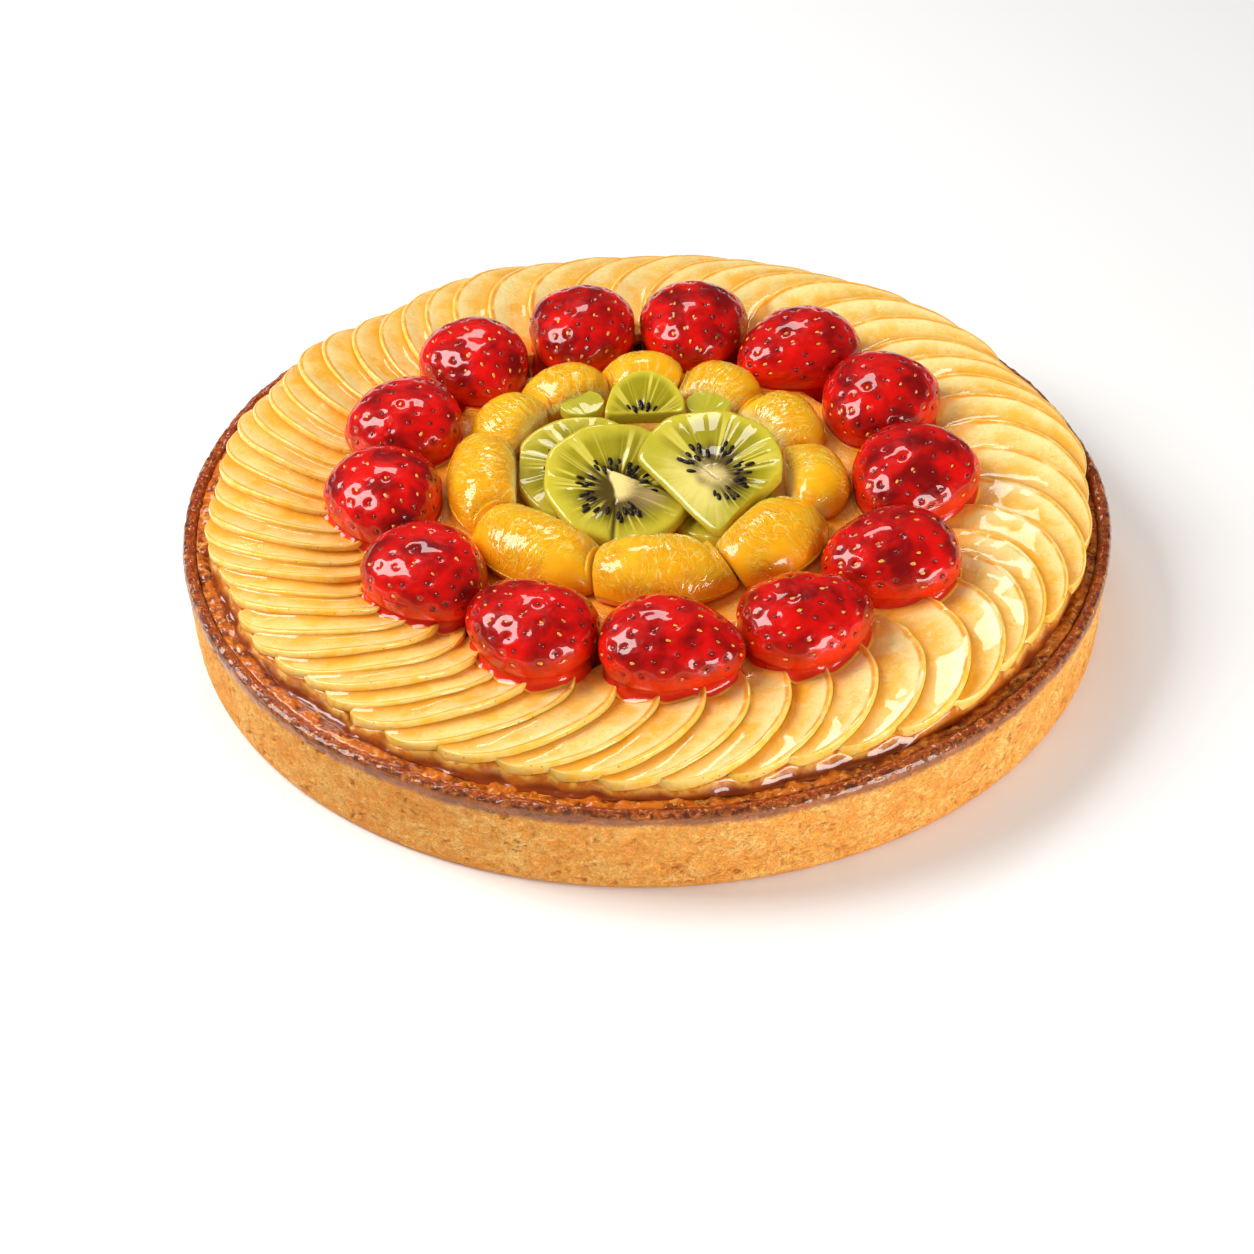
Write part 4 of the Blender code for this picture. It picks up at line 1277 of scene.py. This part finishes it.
def kiwiAt(name, x, y, drop):
    # The point of a slice at shares x and y of its half sizes and at a depth from 0, its top, to 1
    x0, y0, z0, halfX, halfY, thick, riseX, riseY = kiwi["slices"][name][:8]
    bend = kiwiBend(name, x * halfX, y * halfY)
    under = bend if name == "kiwi_front" else 0 * bend
    z = z0 + riseX * x * halfX + riseY * y * halfY + bend * (1 - drop) + under * drop - drop * thick
    points = np.stack(np.broadcast_arrays(x * halfX + x0, y * halfY + y0, z), axis=-1)
    for number in range(len(mandarin["segments"])):
        foot, normal = mandarinInside(number)
        points = softPress(points, foot, normal, mandarin["gap"], 0.3)
    return points


def kiwiReach(name, bearing):
    # How far a slice's outline lies from its middle, in shares of its half sizes, and that middle.
    # The back one is cut straight across in front of its core, and the top one past its fold.
    lobes = np.cos(np.radians(kiwi["lobes"] * bearing + 40 * kiwi["slices"][name][0]))
    lobes = 1 + kiwi["lobeDepth"] * lobes
    if name == "kiwi_top":
        lean = polar(bearing, 1.0) * kiwi["slices"][name][3:5] @ polar(kiwi["foldBearing"], 1.0)
        cut = kiwi["foldReach"] / np.maximum(lean, 1.0)
        return -np.log(np.exp(-24 * lobes) + np.exp(-24 * cut)) / 24, 0.0
    if name != "kiwi_back":
        return lobes, 0.0
    middle = kiwi["backMiddle"]
    way = polar(bearing, 1.0)
    circle = np.sqrt(1 - (middle * way[..., 0]) ** 2) - middle * way[..., 1]
    cut = (middle - kiwi["flatEdge"]) / np.maximum(-way[..., 1], 0.01)
    return -np.log(np.exp(-16 * circle * lobes) + np.exp(-16 * cut)) / 16, middle


def kiwiMarks(name, x, y):
    # Core, haze and furrow, each from 0 to 1. The top slice's core has a crack along it. The front
    # slice's core is a wedge under a slanting cut, with a crease running from its foot to the rim.
    coreX, coreY = kiwi["slices"][name][8:]
    ragged = 0.02 * lumps(np.dstack([x, y, 0 * x]), 0.09, 12)
    if name != "kiwi_front":
        along = (x - coreX) * 0.80 - (y - coreY) * 0.60
        aside = (x - coreX) * 0.60 + (y - coreY) * 0.80
        core = smoothStep(np.hypot(along * 0.85, aside * 1.35) + ragged * 1.5, 0.31, 0.06)
        if name != "kiwi_top":
            return core, 0 * x, 0 * x
        bent = aside - 0.02 * lumps(np.dstack([along, 0 * x, 0 * x]), 0.08, 6)
        crack = bell(bent, 0.014) * smoothStep(np.abs(along + 0.1), 0.26, 0.16)
        return core * 0.75, 0 * x, crack * 0.6
    overCut = y - (kiwi["cutRise"] - kiwi["cutFall"] * x)
    slanted = x + 0.25 * (y - 0.2)
    left, foot = kiwi["wedgeLeft"], kiwi["wedgeFoot"]
    core = smoothStep(slanted + ragged, left, left + 0.05) * smoothStep(overCut, 0.0, -0.03)
    core = core * smoothStep(y + 0.8 * x + ragged, foot - 0.14, foot + 0.02)
    core = core * smoothStep(y - 0.3 * x + ragged, foot - 0.06, foot + 0.08)
    core = core * smoothStep(x + ragged, 0.36, 0.02)
    haze = bell(x - 0.40, 0.24) * bell(y + 0.26, 0.17) * smoothStep(overCut, 0.0, -0.04)
    cut = bell(overCut, 0.035) * smoothStep(x, left - 0.02, left + 0.1)
    bent = x - kiwi["creaseX"] - 0.06 * (y + 0.34)
    crease = bell(bent, 0.03) * smoothStep(y, foot + 0.04, foot - 0.06)
    return core, haze, np.maximum(cut, crease)


def kiwiGrid(name):
    # Rings from the middle of the top, over the rounded rim and back along the underside. Ribs run
    # out from the core, as noise along its bearing.
    overRim = [0.965, 0.985, 0.997, 1, 1, 0.99, 0.96]
    share = np.concatenate([np.linspace(0.02, 0.94, 60), overRim, np.linspace(0.8, 0.1, 5)])[:, None]
    drop = np.concatenate([np.zeros(60), [0.03, 0.10, 0.25, 0.5, 0.75, 0.93, 1.0], np.ones(5)])[:, None]
    bearing = allRound(kiwi["columns"])
    if name == "kiwi_front":
        bearing = np.linspace(kiwi["flapStop"], kiwi["flapEnd"], kiwi["columns"])
    reach, middle = kiwiReach(name, bearing)
    way = polar(bearing, 1.0)
    ragged = lumps(np.hstack([way * 2.6, 0 * way[:, :1] + len(name)]), 1.0, 9)
    reach = reach * (1 - 0.012 + 0.016 * ragged)
    x = share * reach * way[:, 0]
    y = share * reach * way[:, 1] + middle
    points = kiwiAt(name, x, y, drop)
    sizes = kiwi["slices"][name]
    fromCore = np.hypot(x - sizes[8], y - sizes[9])
    angle = np.arctan2(y - sizes[9], x - sizes[8])
    ring = kiwi["ribs"] / (2 * np.pi)
    spot = np.stack([np.cos(angle) * ring, np.sin(angle) * ring, fromCore * 1.6 + len(name)], axis=-1)
    ribs = lumps(spot, 1.0, 3) * smoothStep(fromCore, 0.30, 0.5)
    ribs = ribs * (1 - 0.6 * smoothStep(share, 0.85, 1.0))
    top = 1 - smoothStep(drop, 0.02, 0.3)
    plain = 0.15 if sizes[9] < -1 else 1.0
    if name == "kiwi_top":
        beyond = pastFold(x * sizes[3], y * sizes[4])
        plain = smoothStep(beyond + lumps(points, 4.0, 21) * 1.5, 2.5, -3.0)
    core, haze, furrow = kiwiMarks(name, x, y)
    rise = kiwi["ribDepth"] * ribs * plain * (1 - haze) + 0.25 * core + lumps(points, 6.0, 8) * 0.18
    points[..., 2] += top * (rise - kiwi["furrowDepth"] * furrow)
    facts = {"rayX": x - sizes[8], "rayY": y - sizes[9], "reach": share, "plain": plain, "rim": drop}
    return points, {**facts, "core": core, "haze": haze, "furrow": furrow}


def kiwiSeeds(name):
    # Seeds in loose rings round the core, pointing at it
    shells = []
    sizes = kiwi["slices"][name]
    for ringNumber, (place, count) in enumerate(kiwi["seedRings"]):
        for k in range(count):
            dice = latticeValue(np.array([k, ringNumber, len(name)]), np.arange(3))
            bearing = (k + 0.5 * ringNumber + 0.8 * (dice[0] - 0.5)) * 360.0 / count
            share = place + 0.09 * (dice[1] - 0.5)
            way = polar(bearing, 1.0)
            x, y = share * way + np.array(sizes[8:])
            if name == "kiwi_top" and pastFold(x * sizes[3], y * sizes[4]) > -0.4:
                continue
            turned = bearing % 360
            if name == "kiwi_front" and (turned > 325 or 8 < turned < 25 or 255 < turned < 263):
                continue
            if name == "kiwi_back" and y < kiwi["flatEdge"] + 0.08:
                continue
            spot = kiwiAt(name, x, y, 0.0)
            ahead = kiwiAt(name, x + 0.04 * way[0], y + 0.04 * way[1], 0.0) - spot
            beside = kiwiAt(name, x - 0.04 * way[1], y + 0.04 * way[0], 0.0) - spot
            axis = ahead / np.linalg.norm(ahead)
            normal = np.cross(axis, beside)
            normal /= np.linalg.norm(normal)
            size = 0.75 + 0.45 * dice[2]
            seed = seedGrid(spot + normal * 0.05, normal, -axis, 1.45 * size, 0.62 * size, 0.34)
            shells.append((seed, {}))
    return shells


def makeKiwi():
    # One piece for each slice, and one for all the seeds
    finish = glazedFinish("glazed kiwi", kiwiRecipe, kiwi)
    seedLook = {"Base Color": paint(kiwi["seed"]), "Roughness": 0.45}
    seedLook.update({"Coat Weight": 0.25, "Specular IOR Level": 0.2})
    seedFinish = newFinish("kiwi seed", lambda here: {}, seedLook)
    seeds = []
    for name in kiwi["slices"]:
        title = name.title().replace("_", "").replace("Kiwi", "kiwi") + "Slice"
        addPiece(title, [kiwiGrid(name)], finish, [name])
        if kiwi["slices"][name][9] > -1:
            seeds += kiwiSeeds(name)
    addPiece("kiwiSeeds", seeds, seedFinish)


def kiwiRecipe(here):
    x, y, reach, plain = here.facts("rayX", "rayY", "reach", "plain")
    rim, core, haze, furrow = here.facts("rim", "core", "haze", "furrow")
    radius = (x * x + y * y) ** 0.5
    around = here.node("ShaderNodeCombineXYZ", {}, {"X": x, "Y": y, "Z": radius * 0.12})
    unit = here.node("ShaderNodeVectorMath", {"operation": "NORMALIZE"}, {0: around})
    sockets = {"Vector": unit, "Scale": 7.5, "Detail": 4.0, "Roughness": 0.6}
    rays = unit.node("ShaderNodeTexNoise", {}, sockets, "Fac")
    patch = here.grain(7, 3)
    wobble = radius + (rays - 0.5) * 0.30 + (patch - 0.5) * 0.12
    folded = (radius + (patch - 0.5) * 0.4 + (rays - 0.5) * 0.5).step(0.25, 0.85)
    base = layered(
        kiwi["inner"],
        (wobble.step(0.34, 0.62), kiwi["flesh"]),
        (rays.step(0.50, 0.60) * radius.step(0.18, 0.45) * 0.9, kiwi["ray"]),
        ((reach + (patch - 0.5) * 0.2).step(0.66, 0.95), kiwi["outer"]),
        (1.0 - plain, folded.blend(kiwi["fold"], kiwi["foldGreen"])),
        (core + (rays - 0.5) * core * (1 - core) * 3.0, kiwi["core"]),
        (haze * 0.85, kiwi["haze"]),
        # Painted shade: the crack, the cut and the crease darkened with the inner colour
        (furrow * 0.9, kiwi["inner"]),
        (rim.step(0.0, 0.4) * 0.6, kiwi["outer"]),
    )
    return {"Base Color": base, "Normal": here.grain(2.2, 3).bump(0.22)}


makeKiwi()
print("kiwi made")
